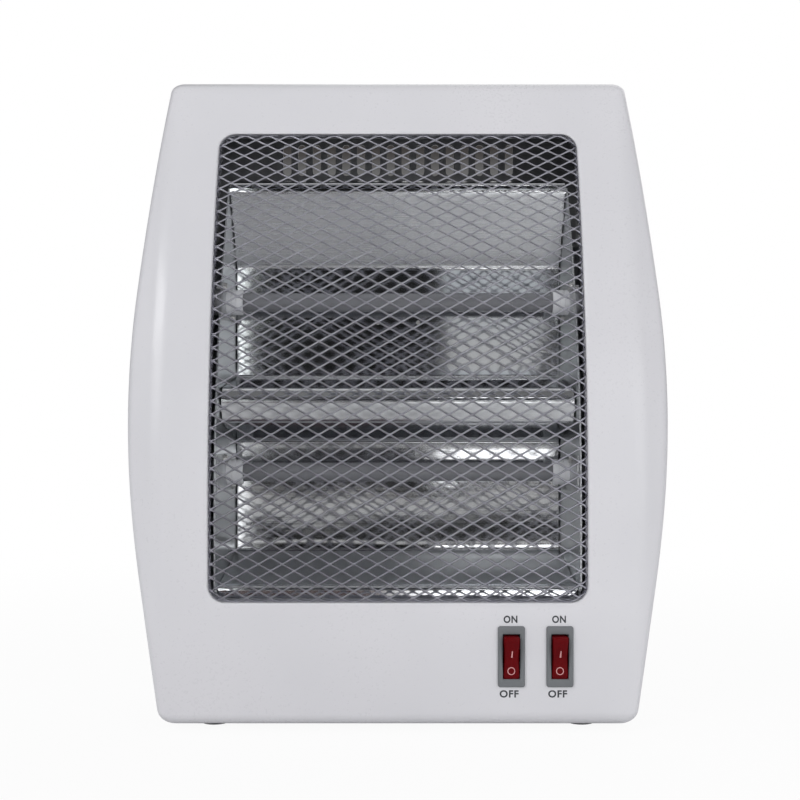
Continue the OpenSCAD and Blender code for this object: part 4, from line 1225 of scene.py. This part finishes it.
@dataclass
class Studio:
    """Pale floor, soft lamps, a white surround and the camera of the photograph.

    The camera stands distance in front of the heater. In the world, even is the light on the heater, and
    reflections turn between the two levels of mirrored over the heights of overhead. The camera sees the floor
    as floor_white of white at least, and as white past floor_fade, a middle and a width in metres.
    """

    distance: float = 700.0
    height: float = 165.0
    aside: float = 1.1
    shift: float = 0.00625
    view_deg: float = 32.07
    floor_half: float = 30000.0
    floor_fade: Pair = (0.5, 0.7)
    floor_white: float = 0.94
    even: Triple = (0.52, 0.52, 0.53)
    overhead: Pair = (0.72, 1.0)
    mirrored: Pair = (0.08, 0.9)

    def camera(self) -> None:
        """Sets the camera level, straight in front of the heater."""
        data = bpy.data.cameras.new("camera")
        data.lens = data.sensor_width / 2 / math.tan(math.radians(self.view_deg / 2))
        data.shift_y = self.shift
        made = placed("camera", data)
        made.location = np.array([self.aside, FORM.front_y - self.distance, self.height]) * MM
        made.rotation_euler = (math.pi / 2, 0, 0)
        bpy.context.scene.camera = made

    def lamp(self, name: str, place: Triple, aim: Triple, size: Pair, watts: float) -> None:
        """A soft rectangular lamp, its place, aim and size in metres."""
        data = bpy.data.lights.new(name, "AREA")
        data.shape = "RECTANGLE"
        data.size, data.size_y = size
        data.energy = watts
        made = placed(name, data)
        made.location = place
        way = np.array(place, float) - np.array(aim, float)
        made.rotation_euler = (math.atan2(math.hypot(way[0], way[1]), way[2]), 0,
                               math.atan2(way[1], way[0]) + math.pi / 2)

    def surround(self) -> None:
        """The world: white to the camera, an even light on the heater, and bright overhead in reflections."""
        white = (1, 1, 1)
        world = bpy.data.worlds.new("surround")
        bpy.context.scene.world = world
        nodes = Nodes(world, "ShaderNodeOutputWorld")
        spot = nodes.node("ShaderNodeTexCoord", {}, {}, "Generated")
        level = nodes.step(nodes.axis(spot, "Z"), self.overhead, self.mirrored)
        even, mirrored, seen = (nodes.node("ShaderNodeBackground", {}, {0: colour, 1: strength})
                                for colour, strength in ((self.even, 1.0), (white, level), (white, 1.0)))
        either = nodes.node("ShaderNodeMath", {"operation": "MAXIMUM"},
                            {0: nodes.ray("Glossy"), 1: nodes.ray("Transmission")})
        nodes.feed(nodes.end, nodes.mix(nodes.ray("Camera"), nodes.mix(either, even, mirrored), seen))

    def panel(self, name: str, low: Sequence[float], high: Sequence[float], p: Paint) -> bpy.types.Object:
        """Lays a flat panel of one paint between two opposite corners, level with X."""
        corners = [low, (high[0], *low[1:]), high, (low[0], *high[1:])]
        made = mesh_of(name, np.array(corners, float), [np.array([[0, 1, 2, 3]])])
        made.data.materials.append(p.material)
        return made

    def floor(self) -> None:
        """A pale floor that keeps the heater's soft shadow and fades to white with distance for the camera."""
        p = Paint("floor_pale")
        grain = p.noise(p.place(), 30.0, 4.0)
        p.set(base_color=p.blend(grain, (0.80, 0.80, 0.80), (0.77, 0.77, 0.77)), roughness=0.9)
        away = p.node("ShaderNodeVectorMath", {"operation": "LENGTH"}, {0: p.place()}, "Value")
        share = p.ray("Camera") * (away.above(*self.floor_fade) * (1 - self.floor_white) + self.floor_white)
        p.feed(p.end, p.mix(share, p.shader, p.node("ShaderNodeEmission", {}, {})))
        n = self.floor_half
        self.panel("floor", (-n, -n, 0), (n, n, 0), p)

    def card(self, name: str, x: Pair, y: Pair, z: Pair, first: Triple, second: Triple,
             fade: Union[Pair, None] = None, seen: bool = False) -> None:
        """A flat card of the room that glows in reflections and lights nothing.

        Args:
            name: The card's name.
            x: Its ends along X.
            y: Its ends along Y.
            z: Its ends along Z.
            first: Its glow at the foot, or at the left where fade is given.
            second: Its glow at the top, or at the right.
            fade: Where along X the glow starts and ends to change.
            seen: Whether the camera sees it, and no reflection does.
        """
        p = Paint(name)
        along, (start, end), share = ("X", fade, 1.0) if fade else ("Z", z, 0.6)
        turn = p.axis(p.place(), along).above((start + end) / 2 * MM, (end - start) * share * MM)
        p.set(base_color=(0, 0, 0), roughness=1.0, specular_ior_level=0.0, emission_strength=1.0,
              emission_color=p.blend(turn, first, second))
        made = self.panel(name, (x[0], y[0], z[0]), (x[1], y[1], z[1]), p)
        made.visible_diffuse = made.visible_shadow = made.visible_transmission = False
        made.visible_camera = seen
        made.visible_glossy = not seen

    def wall(self, name: str, y: float, x: Pair, z: Pair, glow: float, tint: Triple = (1.0, 1.0, 1.0)) -> None:
        """An upright card of one glow, neutral at its foot and tinted at its top."""
        self.card(name, x, (y, y), z, (glow, glow, glow), tuple(glow * t for t in tint))

    def build(self) -> None:
        """Sets up the whole studio."""
        bpy.context.scene.view_settings.view_transform = "Standard"
        self.camera()
        self.surround()
        self.floor()
        self.lamp("key", (-1.25, -1.4, 0.95), (0, 0, 0.15), (0.9, 0.9), 11.6)
        self.lamp("fill", (1.15, -1.5, 0.40), (0, 0, 0.13), (0.9, 0.9), 8.3)
        self.lamp("rear", (0.7, 1.5, 1.2), (0, 0, 0.17), (2.0, 1.6), 8.5)
        self.wall("room_end", -775, (-1400, 1400), (-200, 620), 0.012)
        self.wall("room_left", -770, (-215, -168), (-100, 380), 1.9, (0.96, 1.0, 0.985))
        self.wall("room_right", -770, (46, 160), (190, 330), 0.50, (0.95, 1.0, 1.04))
        self.wall("room_far_right", -770, (186, 1300), (60, 520), 1.0, (0.97, 1.0, 1.02))
        self.wall("low_band", -772, (-168, 176), (42, 69), 0.50, (1.0, 0.98, 0.97))
        self.wall("bright_window", -765, (46, 175), (88, 127), 3.4)
        self.wall("high_window", -765, (56, 178), (740, 860), 2.4)
        self.card("mat_near", (-400, 400), (-270, -75), (1, 1),
                  (0.05, 0.03, 0.03), (0.7, 0.7, 0.7), (-15, 60))
        self.card("mat_far", (-400, 400), (-640, -450), (1, 1),
                  (0.06, 0.035, 0.035), (2.4, 2.4, 2.4), (-30, 60))
        self.card("room_behind", (-300, 300), (2500, 2500), (660, 800),
                  (0.15, 0.15, 0.15), (0.05, 0.045, 0.043), seen=True)


def main() -> None:
    """Builds the studio and then the heater, from the front to the back."""
    logging.basicConfig(level=logging.INFO, format="%(name)s: %(message)s")
    builders: Sequence[Callable[[], None]] = [
        Studio().build, Bezel().build, Guard().build, Reflector().build,
        Tube("upper", 219.2).build, Tube("lower", 129.6).build,
        Switch("left", 57.1).build, Switch("right", 81.5).build, Carried().build]
    for build in builders:
        build()


if __name__ == "__main__":
    main()
